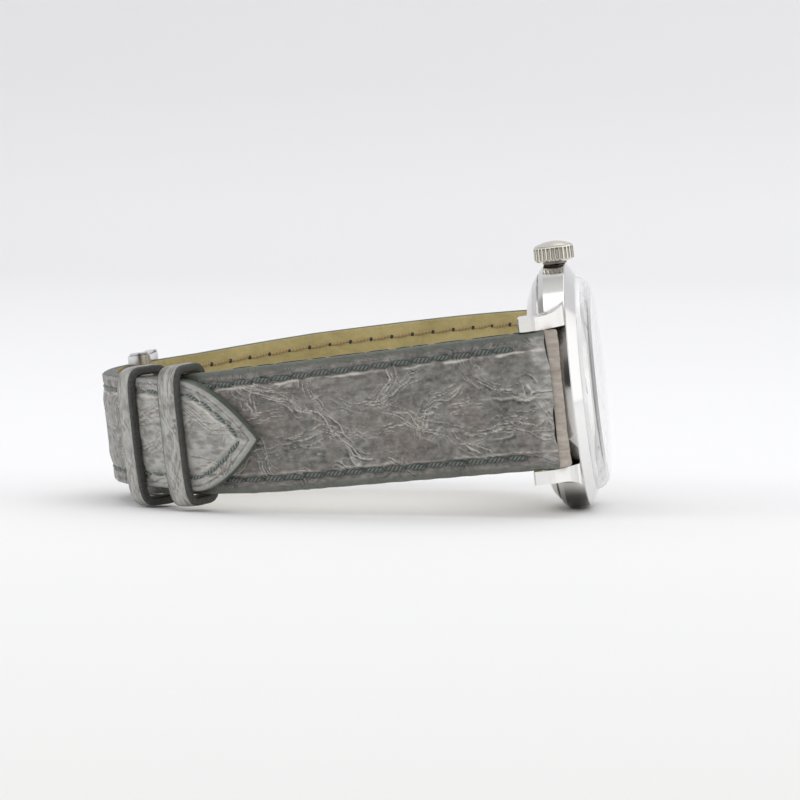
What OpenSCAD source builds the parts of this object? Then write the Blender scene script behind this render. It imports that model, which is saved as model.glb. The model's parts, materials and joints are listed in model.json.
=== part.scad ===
// Round hand-wound wristwatch on a buckled leather strap.
// It rests as a watch is put down: on the rim of its case, with the crown up.
// Watch frame, before it is laid down: X out of the dial, -Y to 12 o'clock, Z to 3 o'clock.

/* [Case] */
// Radius of the case band
case_r = 18.75; // [17:0.05:21]
// Depth of the case band
band_h = 3.25; // [2.6:0.05:4.5]
// Depth of the chamfer behind the band
back_chamfer = 0.8; // [0.4:0.05:1.2]
// Clear width between the lugs
lug_w = 20.8; // [17:0.1:22]
// Thickness of one lug at its tip
lug_t = 2; // [1.6:0.1:2.6]
// Distance from the case rim to the strap bar
bar_reach = 3.05; // [2.7:0.05:4]
// Depth of the strap bar behind the front edge of the band
bar_depth = 3.3; // [2.4:0.1:3.8]
// Depth of the lug tips behind the front edge of the band
lug_drop = 6.7; // [6:0.1:8]
// Depth of the dome of the case back
back_dome = 1.5; // [0.8:0.05:2]

/* [Bezel and crystal] */
// Height of the bezel above the band
bezel_h = 1.35; // [0.9:0.05:2]
// Width of the bezel between the band and the crystal
bezel_w = 2.35; // [2:0.05:2.8]
// Height of the crystal's shoulder above the bezel
crystal_wall_h = 2.2; // [1.8:0.1:3]
// Extra height of the crystal at its middle
crystal_dome = 0.45; // [0.3:0.05:1.2]
// Thickness of the crystal
crystal_t = 1.1; // [0.8:0.05:1.5]

/* [Crown] */
// Diameter of the crown
crown_d = 6.1; // [4.5:0.1:7]
// Length of the crown with its dome
crown_h = 3.1; // [2.4:0.1:4]
// Number of flutes round the crown
crown_flutes = 28; // [20:1:36]
// Gap between the band and the crown
crown_gap = 0.4; // [0.25:0.05:1]
// Diameter of the crown tube
tube_d = 3.7; // [3:0.1:4]
// Depth of the crown's axis behind the front edge of the band
stem_depth = 1.6; // [1.5:0.05:1.75]
// How far the crown pulls out to set the hands
crown_travel = 1; // [0.6:0.1:1.2]

/* [Strap] */
// Thickness of the strap
strap_t = 2.1; // [1.8:0.1:2.6]
// Thickness of the lining in the strap
lining_t = 0.8; // [0.5:0.1:1.1]
// Width of the short piece at the buckle
strap_end_w = 18.1; // [15:0.1:18.6]
// Width of the long piece at its tip
long_end_w = 16.7; // [14:0.1:17.2]
// Length of the straight run from the lugs on the 12 o'clock side
near_run = 37.6; // [34:0.2:46]
// Radius of the bend that carries the keepers
keeper_bend = 31; // [28:0.5:36]
// Radius of the bend at the buckle
buckle_bend = 12; // [10:0.5:16]
// Radius of the bulge on the 6 o'clock side
far_bend = 60; // [52:1:70]
// Length of the pointed tip
tip_len = 12; // [9:0.5:15]
// Angle on the keeper bend where the tip ends
tip_angle = 10.6; // [8:0.2:13]

/* [Keepers and buckle] */
// Width of each keeper along the strap
keeper_w = 3.6; // [3:0.1:5]
// Thickness of the keeper leather
keeper_t = 1.3; // [1:0.1:1.8]
// Play between the keepers and the strap
keeper_play = 0.3; // [0.2:0.05:0.5]
// Angle of the fixed keeper on the keeper bend
fixed_keeper_angle = 51.5; // [50:0.5:57]
// Angle of the free keeper on the keeper bend
free_keeper_angle = 34; // [31:0.5:37]
// Outer half width of the buckle
buckle_half_w = 11.2; // [11:0.1:12]
// Length of the buckle from its bar to its front
buckle_len = 8.2; // [7:0.1:10]

/* [Movement] */
// Radial space from the movement to the outside of the band
wall_w = 4.75; // [4.5:0.05:5.2]

/* [Hidden] */
$fn = 64;
eps = 0.01;
run_gap = 0.05;      // radial running clearance of arbors
seat_gap = 0.02;     // gap between seated rigid pieces

// Levels in the case, along the dial normal, from the front edge of the band
back_level = -(band_h + back_chamfer);
back_plate_t = 0.7;
back_inner = back_level - back_plate_t + 0.2;
back_top = back_level - back_plate_t;
dial_top = 0.1;
dial_t = 0.4;
plate_top = dial_top - dial_t;
plate_back = -1.9;
train_back = -3;
bridge_back = -3.9;
gear_t = 0.15;
center_level = -2.15;
lower_level = -2.45;
escape_level = -2.67;
third_level = -2.92;
wind_level = -3.95;
wind_t = 0.25;

// Radii in the case
crystal_r = case_r - bezel_w;
movement_r = case_r - wall_w;
bezel_inner_r = crystal_r + 0.02;
gasket_t = 0.35;
skirt_r = crystal_r - gasket_t;
inner_r = skirt_r - crystal_t;
shoulder_w = 3;
shoulder_r = crystal_r - shoulder_w;
bore_r = movement_r + 1.2;
ring_r = bore_r - seat_gap;
ledge_r = case_r - 1.5;
back_r = case_r - 1.35;
dial_r = movement_r + 0.6;

// Layout of the train, with x to 3 o'clock and y to 12 o'clock, in units of the calibre
unit = movement_r / 14;
balance_r = 4 * unit;
barrel_r = 5 * unit;
barrel_teeth = 70;
center_pinion_teeth = 12;
center_teeth = 80;
third_pinion_teeth = 10;
third_teeth = 75;
fourth_pinion_teeth = 10;
fourth_teeth = 70;
escape_pinion_teeth = 7;
escape_teeth = 15;
barrel_pitch = 5.4 * unit;
center_pinion_pitch = barrel_pitch * center_pinion_teeth / barrel_teeth;
center_pitch = 4.4 * unit;
third_pinion_pitch = center_pitch * third_pinion_teeth / center_teeth;
third_pitch = 3.75 * unit;
fourth_pinion_pitch = third_pitch * fourth_pinion_teeth / third_teeth;
fourth_pitch = 3.5 * unit;
escape_pinion_pitch = fourth_pitch * escape_pinion_teeth / fourth_teeth;
escape_r = 2.2 * unit;
barrel_dist = barrel_pitch + center_pinion_pitch;
barrel_angle = 55;
barrel_at = barrel_dist * [cos(barrel_angle), sin(barrel_angle)];
fourth_at = [0, -6.5] * unit;
third_dist = center_pitch + third_pinion_pitch;
third_to_fourth = third_pitch + fourth_pinion_pitch;
third_at = meet([0, 0], third_dist, fourth_at, third_to_fourth, -1);
escape_dist = fourth_pitch + escape_pinion_pitch;
escape_angle = 208;
escape_at = fourth_at + escape_dist * [cos(escape_angle), sin(escape_angle)];
balance_at = [-8.2, -5.1] * unit;
fork_share = 0.45;
fork_at = escape_at + fork_share * (balance_at - escape_at);
fork_angle = atan2((balance_at - escape_at)[1], (balance_at - escape_at)[0]);
ratchet_teeth = 44;
crown_wheel_teeth = 24;
ratchet_pitch = 4.2 * unit;
crown_wheel_pitch = ratchet_pitch * crown_wheel_teeth / ratchet_teeth;
wind_dist = ratchet_pitch + crown_wheel_pitch;
crown_wheel_at = [barrel_at[0] + sqrt(wind_dist ^ 2 - barrel_at[1] ^ 2), 0];
contrate_r = 1.4 * unit;
winding_pinion_x = crown_wheel_at[0] + 1.25 * unit;
winding_pinion_len = 1.3;
winding_pinion_r = 1.05;
stem_r = 0.45;
minute_wheel_dist = 2.4 * unit;
minute_wheel_at = [minute_wheel_dist, 0];
cannon_teeth = 12;
minute_teeth = 36;
hour_teeth = 40;
minute_pinion_teeth = 10;
cannon_pitch = minute_wheel_dist * cannon_teeth / (cannon_teeth + minute_teeth);
hour_pitch = minute_wheel_dist * hour_teeth / (hour_teeth + minute_pinion_teeth);
works_back = plate_top - 0.6;
works_r = 4.5 * unit;
arbor_r = 0.7;
arbor_hub_r = 1.2;
mesh_turn = 180 + barrel_angle + 180 / barrel_teeth;
ratchet_mesh = atan2(-barrel_at[1], crown_wheel_at[0] - barrel_at[0]);
click_at = barrel_at + (ratchet_pitch + 1.35) * [cos(100), sin(100)];
click_screw_r = 0.25;
ratchet_screw_r = 0.35;

// Bridges and cocks, with the pillars that carry them and their screws
bridge_feet = [[9.4, 8.5] * unit, [-3, 12.2] * unit, [4.5, -12.2] * unit];
cock_foot = [-12.28, 3.35] * unit;
escape_foot = [-8.53, -10] * unit;
pillars = unit
    * [[10.4, 9.4, 4], [-3, 13, 3], [4.5, -12.8, 3.2], [-9.8, -11.5, 2.6], [-13.2, 3.6, 3.2]];
pillar_w = 2.2;
train_bridge_r = 2.3;
part_gap = 0.25;
cock_r = 1.1;
cock_foot_r = 1.3 * unit;
cock_front = -3.62;
cock_back = -4.2;
escape_cock_back = train_back - 0.14;
screw_r = 0.4;
screw_hole_r = screw_r + seat_gap;
screw_head_r = 0.65;
bridge_screw_len = 0.88;
balance_level = -3.48;
barrel_back = train_back - 0.4;
barrel_front = plate_back - 0.35;
cannon_r = 0.4;
hour_tube_r = 0.7;

// Crown, stem and setting parts
tube_seat_r = 0.75;
crown_seat_h = 0.6;
crown_gasket_t = 0.08;
tube_end = case_r + crown_gap + crown_seat_h - crown_gasket_t - seat_gap;
stem_in = winding_pinion_x - 3.4 * unit;
clutch_len = 1.2;
lever_x = winding_pinion_x + winding_pinion_len + 1.3;
lever_len = 2.6;
lever_back = -stem_depth + stem_r + 0.1;
lever_t = 0.2;
lever_screw_r = 0.18;

// Case back and strap bars
lip_h = 0.6;
gasket_top = 1.05;
bar_tip_r = 0.45;
clamp_turns = [100, 262];

// Where circles of radius ra round a and rb round b cross
function meet(a, ra, b, rb, side) = let (d = norm(b - a), u = (b - a) / d,
    m = (ra ^ 2 - rb ^ 2 + d ^ 2) / (2 * d), h = sqrt(ra ^ 2 - m ^ 2))
    a + m * u + side * h * [-u[1], u[0]];

// Plan of the strap loop in the watch frame, as arcs that join tangentially.
// The line is the outside of the short piece and the inside of the long piece.
bar_y = case_r + bar_reach;
roll_r = strap_t;
near_y = -(bar_y + roll_r);
bend_at = [-bar_depth - near_run, near_y + keeper_bend];
apex = bend_at - [keeper_bend, 0];
corner_at = apex + [buckle_bend, 0];
corner_turn = 45;
corner_end = corner_at + buckle_bend * [-cos(corner_turn), sin(corner_turn)];
far_at = corner_end + far_bend * [cos(corner_turn), -sin(corner_turn)];
peak = far_at + [0, far_bend];
last_step = [-bar_depth, bar_y] - peak;
last_r = (last_step * last_step) / (-2 * last_step[1]);
last_turn = 2 * atan2(-last_step[1], last_step[0]);
last_at = peak - [0, last_r];
strap_half = strap_end_w / 2;
strap_lug_half = lug_w / 2 - 0.15;
short_taper_end = bend_at[0] - keeper_bend * 0.76;
long_taper_end = bend_at[0] - keeper_bend * 0.64;
long_half = long_end_w / 2;
layer_gap = 0.05;
upper_t = strap_t - lining_t;

// Keepers round both layers of strap
keeper_in = keeper_bend - strap_t - keeper_play;
keeper_out = keeper_bend + strap_t + layer_gap + keeper_play;
keeper_half = strap_half + keeper_play;
keeper_low = keeper_half + keeper_t;

// Buckle, with its own frame on the bar: u along the strap, v outwards
buckle_turn = 22;
buckle_bar_r = 0.75;
buckle_bar_at = corner_at + (buckle_bend - strap_t + 0.1) * [-cos(buckle_turn), sin(buckle_turn)];
buckle_dir = 90 - buckle_turn;
arm_t = 1.5;
arm_edge = 0.35;
buckle_lobe_r = 1.45;
front_bar_r = 0.95;
arm_half = front_bar_r + 0.1;
front_turn = buckle_turn + buckle_len / (buckle_bend + strap_t) * 180 / PI;
front_bar_at = corner_at + (buckle_bend + layer_gap + strap_t + front_bar_r + 0.35)
    * [-cos(front_turn), sin(front_turn)];
arm_in = strap_half + 0.35;
tip_span = tip_len / (keeper_bend + strap_t) * 180 / PI;
hole_turn = buckle_turn + 15;
bar_bore = buckle_bar_r + 0.25;
end_roll_r = strap_t - 0.1;
tongue_slot = 2.8;
tongue_t = 0.5;
tongue_half = 0.75;
used_hole_len = 5.4;
tongue_mid_at = corner_at + (buckle_bend + strap_t * 0.75) * [-cos(hole_turn), sin(hole_turn)];
tongue_bed = 0.3;
tongue_play = 0.06;
tongue_turn = front_turn + 4;
tongue_end_at = front_bar_at
    + (front_bar_r - tongue_bed + tongue_play + tongue_t) * [-cos(tongue_turn), sin(tongue_turn)];

// The floor touches the case rim, the fixed keeper and the buckle
keeper_foot_r = keeper_out;
rest_a = [bend_at[0] - keeper_foot_r * sin(fixed_keeper_angle),
    bend_at[1] - keeper_foot_r * cos(fixed_keeper_angle)];
rest_b = buckle_bar_at - [buckle_lobe_r, 0];
function lean_of(t) = ((rest_a[0] - rest_b[0]) * sin(t)
    - (keeper_low - buckle_half_w) * cos(t)) / (rest_a[1] - rest_b[1]);
function rest_error(t) = (rest_a[0] + band_h) * sin(t) - lean_of(t) * rest_a[1]
    - keeper_low * cos(t) + case_r * sqrt(lean_of(t) ^ 2 + cos(t) ^ 2);
function solve_tilt(lo, hi, n) = let (m = (lo + hi) / 2) n == 0 ? m
    : rest_error(lo) * rest_error(m) <= 0 ? solve_tilt(lo, m, n - 1) : solve_tilt(m, hi, n - 1);
tilt = solve_tilt(0, 20, 30);
lean = atan(lean_of(tilt));
rest_h = band_h * sin(tilt) * cos(lean)
    + case_r * sqrt(sin(lean) ^ 2 + (cos(tilt) * cos(lean)) ^ 2);

// The origin is under the middle of the watch as it lies
long_out = strap_t + layer_gap;
left_x = (apex[0] - long_out) * cos(tilt) - strap_half * sin(tilt);
right_x = (bezel_h + crystal_wall_h) * cos(tilt) + shoulder_r * sin(tilt);
near_edge = bend_at[1] - (keeper_bend + long_out) * cos(tip_angle);
far_edge = peak[1] + long_out;
origin_shift = [-(left_x + right_x) / 2, -(near_edge + far_edge) / 2];

// Lays the watch down, from the watch frame to the part's frame
module laid() {
    translate([origin_shift[0], origin_shift[1], rest_h])
        rotate([-lean, 0, 0])
            rotate([0, -tilt, 0])
                children();
}

// From the case frame, Z out of the dial, X to 3 o'clock and Y to 12 o'clock
module cased() {
    laid()
        rotate([180, 0, 0])
            rotate([0, 90, 0])
                children();
}

module disc(z0, z1, r) {
    translate([0, 0, z0])
        cylinder(h = z1 - z0, r = r);
}

module ring(z0, z1, r0, r1) {
    difference() {
        disc(z0, z1, r1);
        disc(z0 - eps, z1 + eps, r0);
    }
}

module at(p) {
    translate([p[0], p[1], 0])
        children();
}

// Outline of a spur gear with flat topped teeth
function gear_points(n, r, h) = [for (i = [0:n - 1], k = [0:3])
    let (a = (i + [-0.31, -0.16, 0.16, 0.31][k]) * 360 / n, q = (k == 1 || k == 2) ? r + h : r - h)
    q * [cos(a), sin(a)]];

module gear(n, r, z0, z1, turn = 0) {
    h = 0.8 * r / n;
    rotate([0, 0, turn])
        translate([0, 0, z0])
            linear_extrude(z1 - z0)
                polygon(gear_points(n, r, h));
}

// Wheel with a rim, four crossings and a hub
module spoked(n, r, z0, z1, hub, turn = 0) {
    rim = r * 0.86;
    difference() {
        gear(n, r, z0, z1, turn);
        difference() {
            disc(z0 - eps, z1 + eps, rim);
            disc(z0 - 1, z1 + 1, hub);
            for (a = [0, 90])
                rotate([0, 0, a + 45])
                    translate([-rim, -0.22, z0 - 1])
                        cube([2 * rim, 0.44, z1 - z0 + 2]);
        }
    }
}

// Bar with round ends between two plan points
module link(p, q, r, z0, z1) {
    a = atan2((q - p)[1], (q - p)[0]);
    translate([0, 0, z0])
        linear_extrude(z1 - z0)
            polygon(concat(arc_points(p, r, a + 90, a + 270, 16),
                arc_points(q, r, a - 90, a + 90, 16)));
}

// Profile of one lug seen along Z: it slopes out from the band to a flat end, and back under
function lug_profile() = let (tip = bar_y + roll_r)
    concat([[-0.15, case_r - 4.4], [-0.15, case_r - 0.6]],
        [for (u = [0:0.125:1])
            [-0.4 - (lug_drop - 2.5) * u, case_r - 0.2 + (tip - case_r + 0.2) * sin(90 * u)]],
        [[-lug_drop + 0.25, tip], [-lug_drop, tip - 0.25], [-lug_drop, case_r - 0.6],
            [-band_h, case_r - 1.4], [-band_h, case_r - 4.4]]);

// Outer side of one lug: thin at the tip, spread where it joins the band
function lug_spread() =
    [for (u = [0:0.1:1]) [-lug_drop - 0.1 + lug_drop * u, lug_w / 2 + lug_t + 1.5 * u ^ 3]];
function lug_plan() = let (root = case_r - 2.4, top = lug_w / 2 + lug_t)
    [for (u = [0:0.1:1]) [bar_y + roll_r + 0.1 - (bar_y + roll_r - root) * u, top + 1.9 * u ^ 2.4]];

module lugs() {
    for (sy = [0, 1], sz = [0, 1])
        mirror([0, 0, sz])
            mirror([0, sy, 0])
                intersection() {
                    translate([0, 0, lug_w / 2])
                        linear_extrude(lug_t + 2)
                            polygon(lug_profile());
                    rotate([90, 0, 0])
                        translate([0, 0, -2 * case_r])
                            linear_extrude(2 * case_r)
                                polygon(concat([[0, 0], [-lug_drop - 0.1, 0]], lug_spread()));
                    rotate([90, 0, 90])
                        translate([0, 0, -lug_drop - 1])
                            linear_extrude(lug_drop + 2)
                                polygon(concat([[case_r / 2, lug_w / 2 + lug_t + 1.9], [case_r / 2, 0],
                                    [2 * case_r, 0], [2 * case_r, lug_w / 2 + lug_t]], lug_plan()));
                }
}

module mid_case() {
    color("silver")
        difference() {
            union() {
                cased()
                    rotate_extrude()
                        polygon([[ledge_r, 0], [case_r - 0.1, 0], [case_r, -0.1], [case_r, -band_h],
                            [case_r - back_chamfer, back_level], [bore_r, back_level],
                            [bore_r, -0.75], [ledge_r, -0.75]]);
                laid()
                    difference() {
                        lugs();
                        rotate([0, 90, 0])
                            translate([0, 0, -lug_drop - 1])
                                cylinder(h = lug_drop + 3, r = case_r - 1.2);
                    }
            }
            cased()
                disc(back_level - 1, back_level + gasket_top, back_r - 1);
            cased()
                translate([0, 0, -stem_depth])
                    rotate([0, 90, 0])
                        cylinder(h = case_r + 2, r = tube_seat_r);
            laid()
                for (s = [-1, 1])
                    translate([-bar_depth, s * bar_y, -lug_w / 2 - 1.1])
                        cylinder(h = lug_w + 2.2, r = bar_tip_r + seat_gap);
        }
}

module bezel() {
    color("gainsboro")
        cased()
            rotate_extrude()
                polygon([[bezel_inner_r, bezel_h], [bezel_inner_r + 0.2, bezel_h],
                    [case_r - 0.1, seat_gap], [ledge_r - seat_gap, seat_gap],
                    [ledge_r - seat_gap, -0.7], [bezel_inner_r, -0.7]]);
}

// High crystal with a domed top and a round shoulder
module crystal() {
    top = bezel_h + crystal_wall_h;
    dome_r = (shoulder_r ^ 2 + crystal_dome ^ 2) / (2 * crystal_dome);
    dome_turn = asin(shoulder_r / dome_r);
    in_dome_r = dome_r - crystal_t;
    n = 10;
    color("aliceblue", 0.35)
        cased()
            rotate_extrude()
                polygon(concat(
                    [for (i = [0:n]) let (a = dome_turn * i / n)
                        [dome_r * sin(a), top + crystal_dome - dome_r * (1 - cos(a))]],
                    [for (a = [72:-18:0])
                        [shoulder_r + shoulder_w * cos(a), bezel_h + crystal_wall_h * sin(a)]],
                    [[crystal_r, bezel_h - 0.3], [skirt_r, bezel_h - 0.3], [skirt_r, -0.1], [inner_r, -0.1],
                        [inner_r, bezel_h], [inner_r - 0.7, bezel_h + crystal_wall_h * 0.45]],
                    [for (i = [n:-1:0]) let (a = dome_turn * 0.93 * i / n)
                        [in_dome_r * sin(a), top + crystal_dome - crystal_t - in_dome_r * (1 - cos(a))]]));
}

module crystal_gasket() {
    color("white", 0.6)
        cased()
            ring(-0.1, bezel_h - 0.32, skirt_r + seat_gap, crystal_r);
}

module rehaut() {
    color("silver")
        cased()
            rotate_extrude()
                polygon([[inner_r - seat_gap, 1], [inner_r - seat_gap, dial_top + seat_gap],
                    [inner_r - 1.1, dial_top + seat_gap], [inner_r - 0.3, 1]]);
}

module case_back() {
    dome_r = back_r - 1.1;
    color("silver")
        cased() {
            difference() {
                rotate_extrude()
                    polygon([[0, back_level - seat_gap], [back_r - 1.1, back_level - seat_gap],
                        [back_r, back_level - seat_gap], [back_r, back_level - 0.35],
                        [dome_r, back_level - 0.35 - back_dome * 0.55],
                        [dome_r - 2.5, back_top - back_dome],
                        [0, back_top - back_dome]]);
                disc(back_inner, back_level + 1, dome_r - 0.7);
                translate([0, case_r - 1.2, back_level - 0.6])
                    cube([3, 1.2, 0.5], center = true);
            }
            ring(back_level - seat_gap - eps, back_level + lip_h, back_r - 1.7, back_r - 1.1);
        }
}

module case_back_gasket() {
    color("dimgray")
        cased()
            ring(back_level + lip_h + seat_gap, back_level + gasket_top - seat_gap,
                back_r - 1.7, back_r - 1.05);
}

// Crown tube pressed into the band, with the collar that shows under the crown
module crown_tube() {
    color("gray")
        cased()
            translate([0, 0, -stem_depth])
                rotate([0, 90, 0])
                    difference() {
                        union() {
                            disc(bore_r + 0.3, tube_end, tube_seat_r - seat_gap);
                            disc(case_r + seat_gap, tube_end, tube_d / 2);
                        }
                        translate([0, 0, bore_r])
                            cylinder(h = 8, r = stem_r + run_gap);
                    }
}

// Fluted crown with a domed top, hollow over its tube
module crown() {
    r = crown_d / 2;
    base = case_r + crown_gap;
    wall_h = crown_h - 0.75;
    dome_r = (r ^ 2 + 0.75 ^ 2) / 1.5;
    color("silver")
        cased()
            translate([0, 0, -stem_depth])
                rotate([0, 90, 0])
                    difference() {
                        intersection() {
                            translate([0, 0, base])
                                rotate_extrude()
                                    polygon([[0, 0], [r - 0.35, 0], [r, 0.35], [r, wall_h - 0.15],
                                        [r - 0.2, wall_h], [r - 0.2, crown_h], [0, crown_h]]);
                            translate([0, 0, base + crown_h - dome_r])
                                sphere(r = dome_r, $fn = 96);
                        }
                        for (i = [0:crown_flutes - 1])
                            rotate([0, 0, i * 360 / crown_flutes])
                                translate([r + 0.05, 0, base - 1])
                                    cylinder(h = wall_h + 0.75, r = r * 2.3 / crown_flutes);
                        translate([0, 0, base - 1])
                            cylinder(h = 1 + crown_seat_h, r = tube_d / 2 + run_gap);
                        translate([0, 0, base + crown_seat_h - eps])
                            cylinder(h = 1.1, r = stem_r);
                    }
}

module crown_gasket() {
    color("black")
        cased()
            translate([0, 0, -stem_depth])
                rotate([0, 90, 0])
                    ring(tube_end + seat_gap, tube_end + seat_gap + crown_gasket_t - eps,
                        stem_r + seat_gap, tube_d / 2);
}

// Shouldered bars: a body between the lugs and a thin tip in each lug
module spring_bar(half) {
    translate([0, 0, -half + 0.4])
        cylinder(h = 2 * half - 0.8, r = buckle_bar_r);
    for (s = [0, 1])
        mirror([0, 0, s]) {
            translate([0, 0, half - 0.4])
                cylinder(h = 0.3, r = buckle_bar_r + 0.2);
            translate([0, 0, half - 0.1 - eps])
                cylinder(h = 1, r = bar_tip_r);
        }
}

module lug_spring_bars() {
    color("darkkhaki")
        laid()
            for (s = [-1, 1])
                translate([-bar_depth, s * bar_y, 0])
                    spring_bar(lug_w / 2);
}

module dial() {
    color("whitesmoke")
        cased()
            difference() {
                disc(plate_top + eps, dial_top, dial_r);
                disc(-1, 1, 1.05);
                at(fourth_at) {
                    disc(-1, 1, 0.3);
                    ring(dial_top - 0.06, 1, 2.2, 2.75);
                }
            }
}

module hour_markers() {
    color("silver")
        cased()
            for (h = [1:12])
                if (h != 6)
                    rotate([0, 0, -30 * h])
                        translate([h == 12 ? -0.5 : -0.25, dial_r - 3.6, dial_top + eps])
                            cube([h == 12 ? 1 : 0.5, 2.2, 0.2]);
}

// Tapered hand with a boss on its arbor
module hand(len, w, z0, boss, hole, tail) {
    difference() {
        union() {
            disc(z0, z0 + 0.14, boss);
            translate([0, 0, z0])
                linear_extrude(0.14)
                    polygon([[-w / 4, -tail], [w / 4, -tail],
                        [w / 2, len * 0.55], [0, len], [-w / 2, len * 0.55]]);
        }
        disc(z0 - 1, z0 + 1, hole);
    }
}

module hour_hand() {
    color("silver")
        cased()
            rotate([0, 0, 60])
                hand(8.2, 1.1, 0.5, 1.1, hour_tube_r, 1.5);
}

module minute_hand() {
    color("silver")
        cased()
            rotate([0, 0, -54])
                hand(12.2, 0.8, 0.85, 0.8, cannon_r, 2);
}

module seconds_hand() {
    color("silver")
        cased()
            at(fourth_at)
                hand(2.1, 0.3, 0.25, 0.3, 0.12, 0.6);
}

module movement_ring() {
    color("silver")
        cased()
            difference() {
                ring(bridge_back, plate_top, movement_r + seat_gap, ring_r);
                translate([0, -1.3, -stem_depth - 1.3])
                    cube([case_r, 2.6, 2.6]);
            }
}

module case_clamps() {
    color("silver")
        cased()
            for (a = clamp_turns)
                rotate([0, 0, a])
                    difference() {
                        union() {
                            translate([movement_r - 1, -0.8, bridge_back - 0.2])
                                cube([2, 1.6, 0.2 - eps]);
                            at([movement_r - 0.2, 0])
                                disc(bridge_back - 0.45, bridge_back - 0.2, 0.75);
                        }
                        at([movement_r - 0.2, 0])
                            translate([-1, -0.1, bridge_back - 0.6])
                                cube([2, 0.2, 0.3]);
                    }
}

// Main plate: pillars and pockets on the train side, motion works recess on the dial side
module main_plate() {
    color("gold")
        cased()
            difference() {
                union() {
                    disc(plate_back, plate_top, movement_r);
                    intersection() {
                        ring(train_back + seat_gap, plate_back + eps, movement_r - pillar_w, movement_r);
                        for (p = pillars)
                            at(p)
                                disc(train_back, plate_back + 1, p[2]);
                    }
                }
                disc(works_back, 1, works_r);
                disc(plate_back - 1, 1, cannon_r + 0.25);
                translate([winding_pinion_x - 2.4, -1.35, plate_back - 1])
                    cube([movement_r, 2.7, 3]);
                translate([0, 0, -stem_depth])
                    rotate([0, 90, 0])
                        disc(stem_in - 0.2, movement_r, stem_r + run_gap);
                translate([lever_x - 0.7, -1.35, lever_back - run_gap])
                    cube([2.6, lever_len + 2.4, 2]);
                at([lever_x, lever_len])
                    disc(plate_back - 1, 0, lever_screw_r + seat_gap);
                for (p = [bridge_feet[0], bridge_feet[1], bridge_feet[2], cock_foot, escape_foot])
                    at(p)
                        disc(train_back - 1, train_back + 0.6, screw_hole_r);
                for (p = [third_at, fourth_at, escape_at, fork_at, balance_at, minute_wheel_at])
                    at(p)
                        disc(plate_back - 1, 1, 0.5);
                at(barrel_at)
                    disc(plate_back - 1, plate_top - 0.5, 0.8);
            }
}

// Bridge blank: part of a disc over the train, cut back round its neighbours
module bridge_blank(x0, y0, w, d, turn) {
    intersection() {
        disc(bridge_back, train_back, movement_r - 0.05);
        rotate([0, 0, turn])
            translate([x0, y0, bridge_back])
                cube([w, d, train_back - bridge_back]);
    }
}

module barrel_bridge() {
    color("silver")
        cased()
            difference() {
                bridge_blank(-movement_r, 0.9 * unit, 2 * movement_r, movement_r, -8);
                at(barrel_at) {
                    disc(bridge_back - 1, train_back + 1, 0.85);
                    disc(train_back - 0.45, train_back + 1, barrel_r + 0.15);
                }
                at(crown_wheel_at)
                    disc(bridge_back - 1, train_back + 1, contrate_r + 0.15);
                disc(bridge_back - 1, train_back + 1, 0.45);
                translate([-movement_r, -6 * unit, bridge_back - 1])
                    cube([movement_r - 2 * unit, 7.6 * unit, 4]);
                link(cock_foot, balance_at, cock_foot_r + part_gap, bridge_back - 1, train_back + 1);
                for (p = [bridge_feet[0], bridge_feet[1]])
                    at(p)
                        disc(bridge_back - 1, train_back + 1, screw_hole_r);
                at(click_at)
                    disc(bridge_back - 1, train_back + 1, click_screw_r + seat_gap);
            }
}

module train_bridge() {
    color("silver")
        cased()
            difference() {
                intersection() {
                    disc(bridge_back, train_back, movement_r - 0.05);
                    link(third_at, bridge_feet[2], train_bridge_r, bridge_back, train_back);
                }
                disc(bridge_back - 1, train_back + 1, 1.3);
                at(balance_at)
                    disc(bridge_back - 1, train_back + 1, balance_r + 0.35);
                for (p = [third_at, fourth_at])
                    at(p)
                        disc(bridge_back - 1, train_back + 1, 0.5);
                at(bridge_feet[2])
                    disc(bridge_back - 1, train_back + 1, screw_hole_r);
            }
}

module balance_cock() {
    color("silver")
        cased()
            difference() {
                union() {
                    link(cock_foot, balance_at, cock_r, cock_back, cock_front);
                    at(cock_foot)
                        disc(cock_back, train_back, cock_foot_r);
                }
                at(balance_at)
                    disc(cock_back - 1, cock_front + 1, 0.5);
                at(cock_foot)
                    disc(cock_back - 1, train_back + 1, screw_hole_r);
            }
}

// Cock that holds the back pivots of the escape wheel and the pallet fork
module pallet_cock() {
    color("silver")
        cased()
            difference() {
                union() {
                    at(escape_foot)
                        disc(escape_cock_back, train_back, 0.95);
                    for (p = [escape_at, fork_at])
                        link((escape_foot + p) / 2, p, 0.65, escape_cock_back, train_back);
                    for (p = [escape_at, fork_at])
                        link(escape_foot + 0.2 * (p - escape_foot), (escape_foot + p) / 2,
                            0.6, escape_cock_back, train_back);
                }
                for (p = [escape_at, fork_at])
                    at(p)
                        disc(-4, 0, 0.5);
                at(escape_foot)
                    disc(-4, 0, screw_hole_r);
            }
}

// Slotted screw with its head on a level
module screw(p, head, len) {
    at(p)
        difference() {
            union() {
                disc(head - 0.2, head - eps, screw_head_r);
                disc(head - 0.1, head + len, screw_r);
            }
            translate([-1, -0.08, head - 0.3])
                cube([2, 0.16, 0.18]);
        }
}

module bridge_screws() {
    color("steelblue")
        cased() {
            for (p = bridge_feet)
                screw(p, bridge_back, bridge_screw_len);
            screw(cock_foot, cock_back, bridge_screw_len);
            screw(escape_foot, escape_cock_back, 0.6);
        }
}

module jewel(p, z0, z1) {
    at(p)
        ring(z0, z1, 0.12, 0.48);
}

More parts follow.
